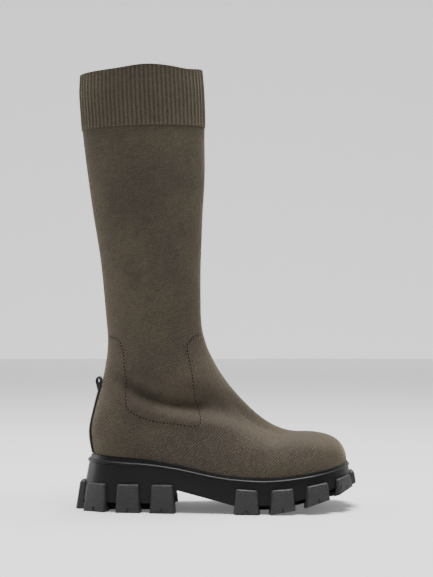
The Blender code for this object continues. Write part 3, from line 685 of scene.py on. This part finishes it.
def knit_material(name, olive, brown, dark, pitch, ribs=0.0):
    """Fine knit: a lattice of small loops in two close shades, partly painted light and shade, with
    flecks and a soft nap; ribs, where given, are painted light and shade too.
    """
    n = Nodes(name)
    along, across, up = n.parts(n.place())
    facing = n.parts(n.add("ShaderNodeNewGeometry").outputs["Normal"])
    ahead, upward = [n.math("POWER", n.math("ABSOLUTE", facing[axis]), 3.0) for axis in (0, 2)]

    def lattice(one, two):
        """Loops in diagonal rows over the knit as seen flat, along two of its coordinates."""
        wale = n.wave(n.math("DIVIDE", n.math("ADD", one, two), pitch))
        course = n.wave(n.math("DIVIDE", n.math("SUBTRACT", one, two), pitch))
        return n.math("MULTIPLY_ADD", wale, 0.4, n.math("MULTIPLY", course, 0.6))

    loops = lattice(n.math("MULTIPLY_ADD", across, 0.4, along), up)
    loops = n.blend(ahead, loops, lattice(across, up))
    loops = n.blend(upward, loops, lattice(along, across))
    spot = n.add("ShaderNodeVectorMath")
    spot.operation = "SNAP"
    n.set(spot.inputs[0], n.place())
    n.set(spot.inputs[1], (pitch / 2,) * 3)
    fleck = n.add("ShaderNodeTexWhiteNoise", Vector=spot.outputs[0]).outputs["Value"]
    cloud = n.noise(16.0, 4.0)
    patch = n.noise(150.0, 2.0)
    fuzz = n.noise(1100.0, 2.0)
    # The loops' tone: lighter on their crests and darker in their hollows, as the bump lifts them,
    # which is the knit's own loop pattern together with painted light and shade.
    tone = n.math("MULTIPLY", loops, 0.36)
    # On ribbed knit the rib crests are painted lighter and the troughs between them darker: painted
    # highlight and painted shade.
    if ribs:
        turns = n.add("ShaderNodeUVMap")
        turns.uv_map = "ribs"
        valley = n.math("MULTIPLY", n.wave(n.parts(turns.outputs[0])[0]), ribs)
        tone = n.math("MULTIPLY_ADD", tone, 0.4, valley)
    for grain, weight in ((fleck, 0.35), (fuzz, 0.4), (patch, 0.25)):
        tone = n.math("MULTIPLY_ADD", n.math("SUBTRACT", grain, 0.5), weight, tone)
    shade = n.mix(n.ramp(cloud, 0.44, 0.68), brown, olive)
    return n.look(
        Base_Color=n.mix(n.ramp(tone, 0.95, -1.05), shade, dark),
        Roughness=0.95,
        Specular_IOR_Level=0.2,
        Sheen_Weight=0.3,
        Sheen_Roughness=0.4,
        Sheen_Tint=rgb(190, 182, 140),
        Normal=n.bump(loops, 0.8, 0.00035, n.bump(fuzz, 0.4, 0.0004)),
    )


def rubber_material(name, colour, roughness, pebble, grain, shine):
    """Rubber with a grain of small pebbles, uneven in tone and gloss over a few centimetres."""
    n = Nodes(name)
    cells = n.add("ShaderNodeTexVoronoi", Scale=grain, Vector=n.place())
    fine = n.noise(grain * 1.7, 3.0)
    broad = n.noise(55.0, 3.0)
    rough = n.bump(cells.outputs["Distance"], pebble, 0.0006)
    return n.look(
        Base_Color=n.mix(broad, colour, brighter(colour, 1.25)),
        Roughness=n.math("MULTIPLY_ADD", broad, 0.16, roughness - 0.08),
        Specular_IOR_Level=shine,
        Normal=n.bump(fine, pebble * 0.5, 0.0004, rough),
    )


def woven_material(name, colour, pitch):
    """Webbing: a plain weave laid out along the piece's own height and width, its raised crossings
    painted lighter as painted highlight.
    """
    n = Nodes(name)
    place = n.parts(n.place())
    across = n.math("SINE", n.math("MULTIPLY", place[1], 2 * math.pi / pitch))
    along = n.math("SINE", n.math("MULTIPLY", place[2], 2 * math.pi / (pitch * 0.7)))
    weave = n.math("MULTIPLY", across, along)
    return n.look(
        # Painted highlight: the colour grows lighter where the weave is raised, as the bump lifts it.
        Base_Color=n.mix(n.ramp(weave, -0.6, 1.0), colour, brighter(colour, 2.2)),
        Roughness=0.75,
        Sheen_Weight=0.1,
        Normal=n.bump(weave, 0.8, 0.0003, n.bump(n.noise(1200.0, 3.0), 0.3, 0.0003)),
    )


KNIT = knit_material("fine knit", rgb(96, 88, 73), rgb(85, 77, 68), rgb(28, 24, 21), 0.0029)
RIB = knit_material("rib knit", rgb(96, 89, 75), rgb(90, 82, 71), rgb(27, 23, 20), 0.0029, 0.42)
SATIN = rubber_material("satin rubber", rgb(5, 5, 6), 0.46, 0.04, 420.0, 0.3)
MATTE = rubber_material("pebbled rubber", rgb(29, 29, 30), 0.56, 0.75, 700.0, 0.45)
UNDER = rubber_material("underside rubber", rgb(9, 9, 10), 0.9, 0.1, 420.0, 0.02)
TAPE = woven_material("black webbing", rgb(10, 10, 10), 0.0011)
LINING = woven_material("sock lining", rgb(46, 44, 42), 0.0016)
# Near-black thread for the stitches: the thread's own colour, and also painted shade standing in for
# the dimples that the stitches pull into the knit.
THREAD_AND_DIMPLE_SHADE = rubber_material("sewing thread and dimple shade", rgb(22, 18, 15), 0.95, 0.0, 900.0, 0.0)


# Skin of the boot: a point and its outward direction by place on the outer or inner side


def unit(arrows):
    return arrows / np.maximum(np.linalg.norm(arrows, axis=-1, keepdims=True), 1e-12)


def station_on(x, z):
    """The station whose section line passes through a place seen from the side."""
    def beyond(station):
        rows = sections(station)
        chord_x = rows[:, 0] - rows[:, 2]
        chord_z = rows[:, 1] - rows[:, 3]
        return -(chord_x * (z - rows[:, 3]) - chord_z * (x - rows[:, 2]))

    return bisect(beyond, np.full(len(x), 0.0), np.full(len(x), RIM_STATION))


def skin_by_place(x, z, side):
    """Points and outward directions of the knit at places seen from the side."""
    x = np.asarray(x, float)
    z = np.asarray(z, float)
    station = station_on(x, z)
    rows = sections(station)
    chord = np.stack([rows[:, 0] - rows[:, 2], rows[:, 1] - rows[:, 3]], 1)
    gone = np.stack([x - rows[:, 2], z - rows[:, 3]], 1)
    share = np.clip((gone * chord).sum(1) / (chord**2).sum(1), 0.0005, 0.9995)
    angle = angle_at(rows, share)
    return skin(station, angle, side)


def skin(station, angle, side):
    """Points and outward directions at an angle round the sections of the knit."""
    step = 0.0008
    turn = 0.02
    here = points_by_angle(sections(station), angle, side)
    up = points_by_angle(sections(station + step), angle, side)
    up -= points_by_angle(sections(station - step), angle, side)
    across = points_by_angle(sections(station), np.clip(angle + turn, 0, math.pi), side)
    across -= points_by_angle(sections(station), np.clip(angle - turn, 0, math.pi), side)
    return here, unit(np.cross(up, across) * side)


# Creases of the knit, as soft troughs and ridges along lines seen from the side, in metres from
# the back of the heel and over the ground; each fades towards its ends and the middle of the boot
MIDDLE_FADE = 0.015
HEM_FADE = 0.012
SEAM_FADE = 0.02
Crease = namedtuple("Crease", "points depth width side")
CREASES = [
    Crease([(0.030, 0.128), (0.047, 0.120), (0.066, 0.112), (0.086, 0.107), (0.108, 0.105)],
           depth=-0.0092, width=0.0105, side=-1),
    Crease([(0.094, 0.106), (0.120, 0.104), (0.142, 0.099), (0.162, 0.090), (0.184, 0.077)],
           depth=-0.0090, width=0.0140, side=-1),
    Crease([(0.182, 0.066), (0.212, 0.064), (0.242, 0.060)], depth=0.0024, width=0.008, side=-1),
    Crease([(0.046, 0.103), (0.073, 0.094), (0.103, 0.089), (0.140, 0.084)],
           depth=0.0024, width=0.0085, side=-1),
    Crease([(0.034, 0.122), (0.060, 0.113), (0.090, 0.108), (0.118, 0.105)],
           depth=-0.0024, width=0.0085, side=1),
    Crease([(0.055, 0.099), (0.095, 0.092)], depth=0.0012, width=0.009, side=1),
    Crease([(0.040, 0.176), (0.070, 0.181), (0.098, 0.180)], depth=-0.0006, width=0.010, side=-1),
    Crease([(0.030, 0.205), (0.062, 0.214), (0.092, 0.209)], depth=0.0005, width=0.012, side=1),
]


def distance_to_line(x, z, points):
    """Distance from places seen from the side to a line, and how far along it they are."""
    best = np.full(np.shape(x), 1e9)
    place = np.zeros(np.shape(x))
    total = len(points) - 1
    for index, ((ax, az), (bx, bz)) in enumerate(zip(points, points[1:])):
        dx = bx - ax
        dz = bz - az
        t = np.clip(((x - ax) * dx + (z - az) * dz) / (dx * dx + dz * dz), 0, 1)
        gap = np.hypot(x - ax - t * dx, z - az - t * dz)
        nearer = gap < best
        best = np.where(nearer, gap, best)
        place = np.where(nearer, (index + t) / total, place)
    return best, place


def creased(points):
    """How far each point of the knit moves out, from the creases and a slow unevenness."""
    x, y, z = points[..., 0], points[..., 1], points[..., 2]
    moved = 0.00025 * np.sin(z * 70 + 3 * np.sin(x * 40)) * np.sin(x * 55 + z * 23 + y * 30)
    for crease in CREASES:
        gap, place = distance_to_line(x, z, crease.points)
        fade = np.sin(math.pi * np.clip(0.12 + 0.76 * place, 0, 1)) ** 0.7
        half = np.clip(y * crease.side / MIDDLE_FADE, 0, 1)
        half = half * half * (3 - 2 * half)
        moved = moved + crease.depth * np.exp(-((gap / crease.width) ** 2)) * fade * half
    return moved


# Knit upper

UPPER_SIDE = 96
TOE_ROWS = 36
FOOT_ROWS = 90
HEEL_ROWS = 44
SHAFT_ROWS = 40


def normals_of(grid):
    """Outward directions of a grid by differences between its neighbours."""
    return unit(np.cross(np.gradient(grid, axis=1), np.gradient(grid, axis=0)))


def row_grid(stations, level=None):
    """Points from the outer edge over the front to the inner edge, for each station."""
    rows = sections(stations)
    start = angle_at(rows, share_at(rows, level)) if level else np.zeros(len(rows))
    t = np.linspace(0, 1, UPPER_SIDE + 1)
    angle = start[:, None] + (math.pi - start[:, None]) * t[None, :]
    wide = rows[:, None, :]
    outer = points_by_angle(wide, angle, -1.0)
    inner = points_by_angle(wide, angle[:, ::-1], 1.0)
    return np.concatenate([outer, inner[:, 1:]], 1)


def build_upper():
    seat = heel_station(hem_level)
    slant = np.linspace(math.pi / 2, 0, TOE_ROWS, endpoint=False)
    toe = -TOE_LENGTH * np.sin(slant) ** 0.8
    foot = seat * (1 - (1 - np.linspace(0, 1, FOOT_ROWS)) ** 1.2)
    heel = np.linspace(seat, ANKLE_STATION, HEEL_ROWS + 1)[1:]
    shaft = np.linspace(ANKLE_STATION, CUFF_STATION, SHAFT_ROWS + 1)[1:]
    stations = np.concatenate([toe, foot, heel, shaft])
    grid = row_grid(stations, hem_level)
    out = normals_of(grid)
    out[0] = (1, 0, 0)
    off_hem = np.clip((grid[..., 2] - lip_level(grid[..., 0])) / HEM_FADE, 0, 1)
    off_seam = np.clip((CUFF_STATION - stations) / SEAM_FADE, 0, 1)[:, None]
    grid = grid + out * (creased(grid) * off_hem * off_seam)[..., None]
    mesh = welded(grid_mesh("knit_upper", grid))
    made = thickened(new_object("knit_upper", placed(mesh)), KNIT_WALL, -1)
    return dress(made, KNIT, "knit", "upper", sharp=60)


# Ribbed cuff: rounded ribs with narrow valleys, a turned rim and a tucked lower edge

RIB_STEPS = 8
CUFF_ROWS = 26
EDGE_TUCK = 0.0005
Wave = namedtuple("Wave", "place height width")
RIM_WAVES = [Wave(0.056, height=0.0025, width=0.022), Wave(0.098, height=-0.0022, width=0.014)]


def even_ring(station, count):
    angle = np.linspace(0, math.pi, 400)
    row = sections(station)
    outer = points_by_angle(row, angle, -1.0)
    inner = points_by_angle(row, angle[::-1], 1.0)
    ring = np.vstack([outer, inner[1:]])
    return spread(ring, count, 0.0)


def build_cuff():
    stations = np.linspace(CUFF_STATION, RIM_STATION, CUFF_ROWS)
    count = RIB_COUNT * RIB_STEPS
    phase = np.arange(count + 1) / RIB_STEPS * 2 * math.pi
    rib = (0.5 + 0.5 * np.cos(phase)) ** 0.6
    rings = []
    for index, station in enumerate(stations):
        ring = even_ring(station, count)
        closed = ring[:-1]
        along = np.roll(closed, -1, 0) - np.roll(closed, 1, 0)
        along = np.vstack([along, along[:1]])
        out = unit(np.stack([-along[:, 1], along[:, 0], np.zeros(len(along))], 1))
        inside = min(index / 2, (len(stations) - 1 - index) / 2, 1)
        height = (rib - 1) * RIB_DEPTH * (0.45 + 0.55 * inside) - EDGE_TUCK * (1 - inside)
        lift = np.array([0, 0, GAP if index == 0 else 0.0])
        rings.append(ring + out * height[:, None] + lift)
    grid = np.array(rings)
    rise = np.linspace(0, 1, len(stations))[:, None] ** 2
    x = grid[..., 0]
    for wave in RIM_WAVES:
        grid[..., 2] += wave.height * np.exp(-(((x - wave.place) / wave.width) ** 2)) * rise
    turns = np.broadcast_to(phase / (2 * math.pi), x.shape)
    uv = np.stack([turns, np.broadcast_to(stations[:, None], x.shape)], -1)
    mesh = welded(grid_mesh("rib_cuff", grid, uv))
    made = thickened(new_object("rib_cuff", placed(mesh)), CUFF_WALL - RIB_DEPTH, -1)
    return dress(made, RIB, "rib_knit", "cuff", sharp=60)


# Stitches of the ankle panel: one line round each side, joined at back and front

PANEL = [
    (0.0195, 0.1692), (0.0259, 0.1682), (0.0301, 0.1650), (0.0328, 0.1597), (0.0344, 0.1523),
    (0.0352, 0.1333), (0.0364, 0.1122), (0.0378, 0.1026), (0.0407, 0.0984), (0.0470, 0.0937),
    (0.0555, 0.0906), (0.0649, 0.0877), (0.0839, 0.0853), (0.1051, 0.0835), (0.1093, 0.0847),
    (0.1103, 0.0890), (0.1098, 0.0963), (0.1051, 0.1143), (0.1009, 0.1375), (0.0972, 0.1565),
    (0.0969, 0.1608), (0.1000, 0.1665), (0.1050, 0.1705), (0.1105, 0.1725),
]
STITCH_PITCH = 0.0034
STITCH_LENGTH = 0.0018
STITCH_RADIUS = 0.00052


def smooth_line(points, count):
    """A smooth curve through points, given by count places at even steps along it."""
    points = np.array(points)
    lengths = lengths_along(points)
    places = np.linspace(0, lengths[-1], count)
    return np.stack(
        [hermite(lengths, column, grades_smooth(lengths, column), places) for column in points.T], 1
    )


def build_stitches():
    bm = bmesh.new()
    for side in (-1.0, 1.0):
        line = smooth_line(PANEL, 500)
        points, out = skin_by_place(line[:, 0], line[:, 1], side)
        points = points + out * (creased(points) + STITCH_RADIUS * 0.15)[:, None]
        lengths = lengths_along(points)
        count = int(lengths[-1] / STITCH_PITCH)
        for step in range(count):
            middle = (step + 0.5) * lengths[-1] / count
            ends = [middle - STITCH_LENGTH / 2, middle + STITCH_LENGTH / 2]
            spots = [Vector([np.interp(end, lengths, axis) for axis in points.T]) for end in ends]
            made = bmesh.ops.create_uvsphere(bm, u_segments=8, v_segments=6, radius=STITCH_RADIUS)
            axis = spots[1] - spots[0]
            turn = axis.to_track_quat("Z", "Y").to_matrix()
            stretch = axis.length / 2 / STITCH_RADIUS
            for vert in made["verts"]:
                vert.co.z *= stretch
                vert.co = turn @ vert.co + (spots[0] + spots[1]) / 2
    mesh = placed(mesh_from(bm, "ankle_stitches"))
    return dress(new_object("ankle_stitches", mesh), THREAD_AND_DIMPLE_SHADE, "knit")


# Midsole

# The lip's section from the wall up over its sloping band and the groove to the inner rim:
# share of the sole's margin, metres down from the lip line, and metres out
Lip = namedtuple("Lip", "share drop out", defaults=[0.0])
LIP = [
    Lip(1.00, 0.0080, out=-0.0014),
    Lip(1.00, 0.0077, out=-0.0006),
    Lip(1.00, 0.0070),
    Lip(1.00, 0.0063),
    Lip(0.96, 0.0055),
    Lip(0.86, 0.0049),
    Lip(0.71, 0.0045),
    Lip(0.57, 0.0042),
    Lip(0.51, 0.0034),
    Lip(0.46, 0.0022),
    Lip(0.40, 0.0013),
    Lip(0.35, 0.0012),
    Lip(0.31, 0.0018),
    Lip(0.25, 0.0011),
    Lip(0.21, 0.0002),
    Lip(0.13, 0.0),
]
# The band's height along the foot, as a share of its height at the heel
lip_band = table_curve([(0.15, 1), (0.36, 0.72), (0.5, 0.6), (1, 0.55)])


def arch_outline():
    back = ARCH_BACK * UPPER_LENGTH
    front = ARCH_FRONT * UPPER_LENGTH
    points = [(front, -DEEP), (front, float(base_level(front)))]
    for step in range(7):
        turn = math.pi / 2 * step / 6
        points.append((
            back + BREAST_FILLET * (1 - math.sin(turn)),
            BREAST_HEIGHT - BREAST_FILLET * (1 - math.cos(turn)),
        ))
    return points + [(back, -DEEP)]


def lip_ring(rim, step):
    return grown(
        rim,
        lambda x: margin(x) * step.share + step.out,
        lambda x: lip_level(x) - step.drop * lip_band(x),
    )


def cup_ring(ring, depth):
    return grown(ring, const(GAP), lambda x: lip_level(x) - depth)


def build_midsole():
    rim = outline(lip_level)
    rings = [
        grown(rim, lambda x: foot_margin(x) - EDGE, base_level),
        grown(rim, foot_margin, lambda x: base_level(x) + EDGE),
    ]
    lip = [lip_ring(rim, step) for step in LIP]
    for share in (0.25, 0.5, 0.75, 0.92):
        rings.append(rings[1] * (1 - share) + lip[0] * share)
    rings += lip
    for depth in (GROOVE_DEPTH, (GROOVE_DEPTH + CUP_DEPTH) / 2):
        rings.append(cup_ring(outline(lambda x: lip_level(x) - depth), depth))
    rings.append(cup_ring(outline(hem_level), CUP_DEPTH))
    made = new_object("sole_wall", loft_mesh("sole_wall", rings))
    arch = new_object("arch", flat_mesh("arch", [arch_outline()], BALL_WIDTH))
    made.data.materials.append(SATIN)
    arch.data.materials.append(UNDER)
    boolean(made, [arch], "DIFFERENCE")
    placed(made.data)
    return dress(made, None, "satin_rubber", "midsole", sharp=38)


# Tread


def plan_from_start(ring, side):
    """The ring seen from above, from its start round by the given side and back to the start."""
    ordered = ring if side < 0 else np.roll(ring[::-1], 1, 0)
    return np.vstack([ordered, ordered[:1]])[:, :2]


def walk(ring, side, distance):
    """Place, direction and outward direction at a distance along a ring from its start."""
    flat = plan_from_start(ring, side)
    lengths = lengths_along(flat)
    if distance == 0:
        along = Vector(flat[1] - flat[-2]).normalized()
    else:
        ahead = [np.interp(distance + 0.001, lengths, axis) for axis in flat.T]
        behind = [np.interp(distance - 0.001, lengths, axis) for axis in flat.T]
        along = (Vector(ahead) - Vector(behind)).normalized()
    here = Vector([np.interp(distance, lengths, axis) for axis in flat.T])
    return here, along, Vector((-along.y, along.x)) * (1 if side < 0 else -1)


def block(name, corner, bevel):
    bm = bmesh.new()
    bmesh.ops.create_cube(bm, size=2)
    outer = [vert for vert in bm.verts if vert.co.y > 0]
    edges = [edge for edge in bm.edges if all(vert in outer for vert in edge.verts)]
    edges += [edge for edge in bm.edges if any(vert in outer for vert in edge.verts)
              and all(vert.co.z > 0 for vert in edge.verts) and edge not in edges]
    for vert in bm.verts:
        vert.co = corner(*[round(value) for value in vert.co])
    bm.normal_update()
    bmesh.ops.recalc_face_normals(bm, faces=bm.faces)
    bmesh.ops.bevel(bm, geom=edges, offset=bevel, segments=3, profile=0.5, affect="EDGES")
    return new_object(name, mesh_from(bm, name))


def lug_pieces(name, place, top_level, proud_scale):
    centre, along, out = place
    lean = HEEL_FLARE * float(flare_share(centre.x))
    wall = float(lip_level(centre.x) - base_level(centre.x))

    def wrap(side, outward, up):
        half = (LUG_TOP_WIDTH if up > 0 else LUG_FOOT_WIDTH) / 2
        reach = -PLATE
        if outward > 0:
            reach = (LUG_TOP_PROUD if up > 0 else LUG_FOOT_PROUD) * proud_scale
        else:
            half += LUG_DRAFT
        if up > 0:
            reach -= lean * float(top_level(centre.x) - base_level(centre.x)) / wall
        spot = centre + along * (side * half) + out * reach
        height = top_level(spot.x) if up > 0 else tread_level(spot.x)
        return Vector((spot.x, spot.y, float(height)))

    def bar(side, outward, up):
        half = LUG_FOOT_WIDTH / 2 * (0.9 if outward < 0 else 0.6)
        reach = LUG_DRAFT if outward < 0 else -LUG_REACH
        spot = centre + along * (side * half) + out * reach
        height = plate_level(spot.x) + PLATE / 2 if up > 0 else tread_level(spot.x)
        return Vector((spot.x, spot.y, float(height)))

    def notch(side, outward, up):
        reach = LUG_FOOT_PROUD * proud_scale + (0.004 if outward > 0 else -NOTCH_DEPTH)
        spot = centre + along * (side * NOTCH_WIDTH / 2) + out * reach
        height = float(tread_level(spot.x)) + (NOTCH_HEIGHT if up > 0 else -0.002)
        return Vector((spot.x, spot.y, height))

    solids = [block(f"{name}_wrap", wrap, LUG_BEVEL), block(f"{name}_bar", bar, LUG_BEVEL)]
    return solids, block(f"{name}_notch", notch, 0.0001)


def middle_block(name, ring, along):
    x = along * UPPER_LENGTH
    near = ring[np.argsort(np.abs(ring[:, 0] - x))[:2]]
    middle = near[:, 1].mean()

    def corner(side, outward, up):
        spot_x = x + side * BLOCK_LENGTH / 2
        height = plate_level(spot_x) + PLATE / 2 if up < 0 else tread_level(spot_x)
        return Vector((spot_x, middle + outward * BLOCK_WIDTH / 2, float(height)))

    return block(name, corner, LUG_BEVEL)


def box_object(name, low, high):
    bm = bmesh.new()
    bmesh.ops.create_cube(bm, size=1)
    low = Vector(low)
    high = Vector(high)
    for vert in bm.verts:
        vert.co = (low + high) / 2 + Vector(a * b for a, b in zip(vert.co, high - low))
    return new_object(name, mesh_from(bm, name))


def build_outsole(name, node, places, top_level, blocks, clear):
    rim = outline(lip_level, 60)
    foot = grown(rim, foot_margin, base_level)
    plate = [
        grown(rim, lambda x: foot_margin(x) - 2 * EDGE, plate_level),
        grown(rim, lambda x: foot_margin(x) - EDGE / 2, lambda x: plate_level(x) + 1.5 * EDGE),
        grown(rim, foot_margin, lambda x: base_level(x) + PLATE / 2),
    ]
    jacket = new_object("jacket", loft_mesh("jacket", [
        grown(rim, lambda x: foot_margin(x) + GAP, lambda x: base_level(x) - GAP),
        grown(rim, lambda x: margin(x) - BEAD_PROUD + GAP, lambda x: lip_level(x) - BEAD_HEIGHT),
    ]))
    made = new_object(name, loft_mesh(name, plate))
    made.data.materials.append(UNDER)
    boolean(made, [box_object("clear", *clear)], "DIFFERENCE")
    solids = []
    notches = []
    for index, (place, scale) in enumerate(places(foot)):
        pieces, notch = lug_pieces(f"{name}_{index}", place, top_level, scale)
        solids += pieces
        notches.append(notch)
    solids += [middle_block(f"{name}_b{index}", foot, at) for index, at in enumerate(blocks)]
    for solid in solids + notches:
        solid.data.materials.append(MATTE)
    boolean(made, solids, "UNION")
    boolean(made, [jacket], "DIFFERENCE")
    boolean(made, notches, "DIFFERENCE")
    placed(made.data)
    return dress(made, None, "matte_rubber", node, sharp=24)


def lug_places(ring, last_x, count, first_scale):
    """A place at the ring's start and count more on each side of it, up to last_x."""
    places = [(walk(ring, -1, 0), first_scale)]
    for side in (-1, 1):
        flat = plan_from_start(ring, side)
        lengths = lengths_along(flat)
        x = flat[:, 0]
        after = int(np.argmax((x - last_x) * (x[0] - last_x) <= 0))
        part = (last_x - x[after - 1]) / (x[after] - x[after - 1])
        reach = lengths[after - 1] + part * (lengths[after] - lengths[after - 1])
        places += [(walk(ring, side, reach * step / count), 1.0) for step in range(1, count + 1)]
    return places


def heel_places(foot):
    turned = np.roll(foot, -(len(foot) // 2), 0)
    last = ARCH_BACK * UPPER_LENGTH - LUG_FOOT_WIDTH / 2
    return lug_places(turned, last, HEEL_LUGS, REAR_LUG_SCALE)


def fore_places(foot):
    return lug_places(foot, ARCH_FRONT * UPPER_LENGTH + LUG_FOOT_WIDTH / 2, FORE_LUGS, 1.0)


def build_treads():
    half = BALL_WIDTH
    back = ARCH_BACK * UPPER_LENGTH
    front = ARCH_FRONT * UPPER_LENGTH
    past_heel = ((back, -half, -DEEP), (2 * UPPER_LENGTH, half, BOOT_HEIGHT))
    past_fore = ((-UPPER_LENGTH, -half, -DEEP), (front, half, BOOT_HEIGHT))
    build_outsole("heel_tread", "outsole_heel", heel_places, lambda x: HEEL_LUG_HEIGHT,
                  HEEL_BLOCKS, past_heel)
    build_outsole("forefoot_tread", "outsole_forefoot", fore_places,
                  lambda x: lip_level(x) - FORE_LUG_DROP, FORE_BLOCKS, past_fore)


# Insole and tape


def build_insole():
    inset = -KNIT_WALL - INSOLE_CLEAR
    hem = outline(hem_level)
    rings = [
        grown(hem, const(inset), hem_level),
        grown(hem, const(inset), lambda x: hem_level(x) + INSOLE - EDGE),
        grown(hem, const(inset - EDGE), lambda x: hem_level(x) + INSOLE),
    ]
    made = new_object("sock_lining", placed(loft_mesh("sock_lining", rings)))
    return dress(made, LINING, "sock_lining", "insole", sharp=50)


TAPE_ROWS = 60
TAPE_SIDE = 8
LOOP_STEPS = 48


def back_point(station, y):
    rows = sections(station)
    half = np.where(y < 0, rows[:, 4], rows[:, 5])
    under = rows[:, 8]
    left = (1 - (np.abs(y) / half) ** under) ** (1 / under)
    share = rows[:, 7] * (1 - left)
    x = rows[:, 2] + share * (rows[:, 0] - rows[:, 2])
    z = rows[:, 3] + share * (rows[:, 1] - rows[:, 3])
    return np.stack([x, rows[:, 6] + y, z], 1)


def back_normal(station, y):
    reach = 0.0016
    up = back_point(station + reach, y) - back_point(station - reach, y)
    across = back_point(station, y + reach) - back_point(station, y - reach)
    return unit(np.cross(up, across))


def loop_outline(inner):
    foot = float(lip_level(0.0)) + TAPE_RISE - TAPE_THICKNESS
    start = math.radians(95 if inner else 12)
    angle = np.linspace(start, 2 * math.pi - start, LOOP_STEPS + 1)
    bulge = np.sin(angle / 2) ** 2 * (1 + np.sin(angle)) / 2
    height = foot + LOOP_HEIGHT * (1 - np.cos(angle)) / 2
    knit = np.array([sections(back_station(z))[0, 2] for z in height])
    path = np.stack([knit - GAP - TAPE_THICKNESS / 2 - LOOP_DEPTH * bulge, height], 1)
    along = np.gradient(path, axis=0)
    out = unit(np.stack([-along[:, 1], along[:, 0]], 1))
    return path + out * TAPE_THICKNESS / 2 * (-1 if inner else 1)


def build_tape():
    bottom = back_station(float(lip_level(0.0)) + GAP)
    top = back_station(float(lip_level(0.0)) + TAPE_RISE)
    stations = np.linspace(bottom, top, TAPE_ROWS)
    columns = []
    for across in np.linspace(1, -1, 2 * TAPE_SIDE + 1):
        y = np.full(TAPE_ROWS, TAPE_WIDTH / 2 * across)
        columns.append(back_point(stations, y) + back_normal(stations, y) * GAP)
    sheet = new_object("heel_tape", grid_mesh("heel_tape", np.stack(columns, 1)))
    made = thickened(sheet, TAPE_THICKNESS, 1)
    outlines = [loop_outline(False), loop_outline(True)]
    loop = new_object("pull_loop", flat_mesh("pull_loop", outlines, TAPE_WIDTH / 2))
    boolean(made, [loop], "UNION")
    placed(made.data)
    return dress(made, TAPE, "woven_tape", "pull_tape", sharp=40)


# Floor, light and camera

# The camera looks at the outer side, tipped up by an angle in radians; the frame's width is that of
# the picture where the boot stands
CAMERA_DISTANCE = 1.22
CAMERA_HEIGHT = 0.1874
CAMERA_RISE = 0.02473
FRAME_WIDTH = 0.433
SENSOR = 36.0
# The floor glows a little, and more towards the backdrop, so that the two run into each other
NEAR_GLOW = 0.14
FAR_GLOW = 0.32
WALL_GLOW = 0.66
SKY_GLOW = 0.25
Lamp = namedtuple("Lamp", "name place aim size power")
LAMPS = [
    Lamp("top", (0.05, -0.06, 1.9), aim=(0.02, 0.0, 0.1), size=0.9, power=100),
    Lamp("left", (-1.4, 0.30, 0.55), aim=(-0.1, 0.0, 0.15), size=0.8, power=12),
    Lamp("right", (1.5, 0.40, 0.85), aim=(0.0, 0.0, 0.2), size=0.8, power=3),
]


def stage_plane(name, n, grey, roughness, glow, **where):
    bpy.ops.mesh.primitive_plane_add(**where)
    plane = bpy.context.object
    plane.name = name
    plane.data.materials.append(n.look(
        Base_Color=(grey, grey, grey, 1),
        Roughness=roughness,
        Emission_Color=(1, 1, 1, 1),
        Emission_Strength=glow,
    ))


def build_studio():
    floor = Nodes("pale floor")
    away = floor.parts(floor.place())[1]
    glow = floor.math("MULTIPLY_ADD", floor.ramp(away, 0.3, 3.5), FAR_GLOW, NEAR_GLOW)
    stage_plane("floor", floor, 0.62, 0.9, glow, size=12)
    stage_plane("backdrop", Nodes("white backdrop"), 0.9, 1.0, WALL_GLOW,
                size=16, location=(0, 4.5, 4), rotation=(math.pi / 2, 0, 0))
    world = bpy.data.worlds.new("studio")
    bpy.context.scene.world = world
    world.use_nodes = True
    sky = world.node_tree.nodes["Background"]
    sky.inputs["Color"].default_value = (1, 1, 1, 1)
    sky.inputs["Strength"].default_value = SKY_GLOW
    for lamp in LAMPS:
        light = bpy.data.lights.new(lamp.name, "AREA")
        light.size = lamp.size
        light.energy = lamp.power
        made = new_object(lamp.name, light)
        made.location = lamp.place
        away = Vector(lamp.place) - Vector(lamp.aim)
        made.rotation_euler = away.to_track_quat("Z", "Y").to_euler()


def build_camera():
    camera = bpy.data.cameras.new("camera")
    camera.sensor_fit = "HORIZONTAL"
    camera.sensor_width = SENSOR
    camera.lens = SENSOR * CAMERA_DISTANCE / FRAME_WIDTH
    camera.clip_start = 0.05
    holder = new_object("camera", camera)
    holder.location = (0.0, -CAMERA_DISTANCE, CAMERA_HEIGHT)
    holder.rotation_euler = (math.pi / 2 + CAMERA_RISE, 0, 0)
    bpy.context.scene.camera = holder


build_camera()
build_studio()
build_upper()
build_cuff()
build_stitches()
build_midsole()
build_treads()
build_insole()
build_tape()
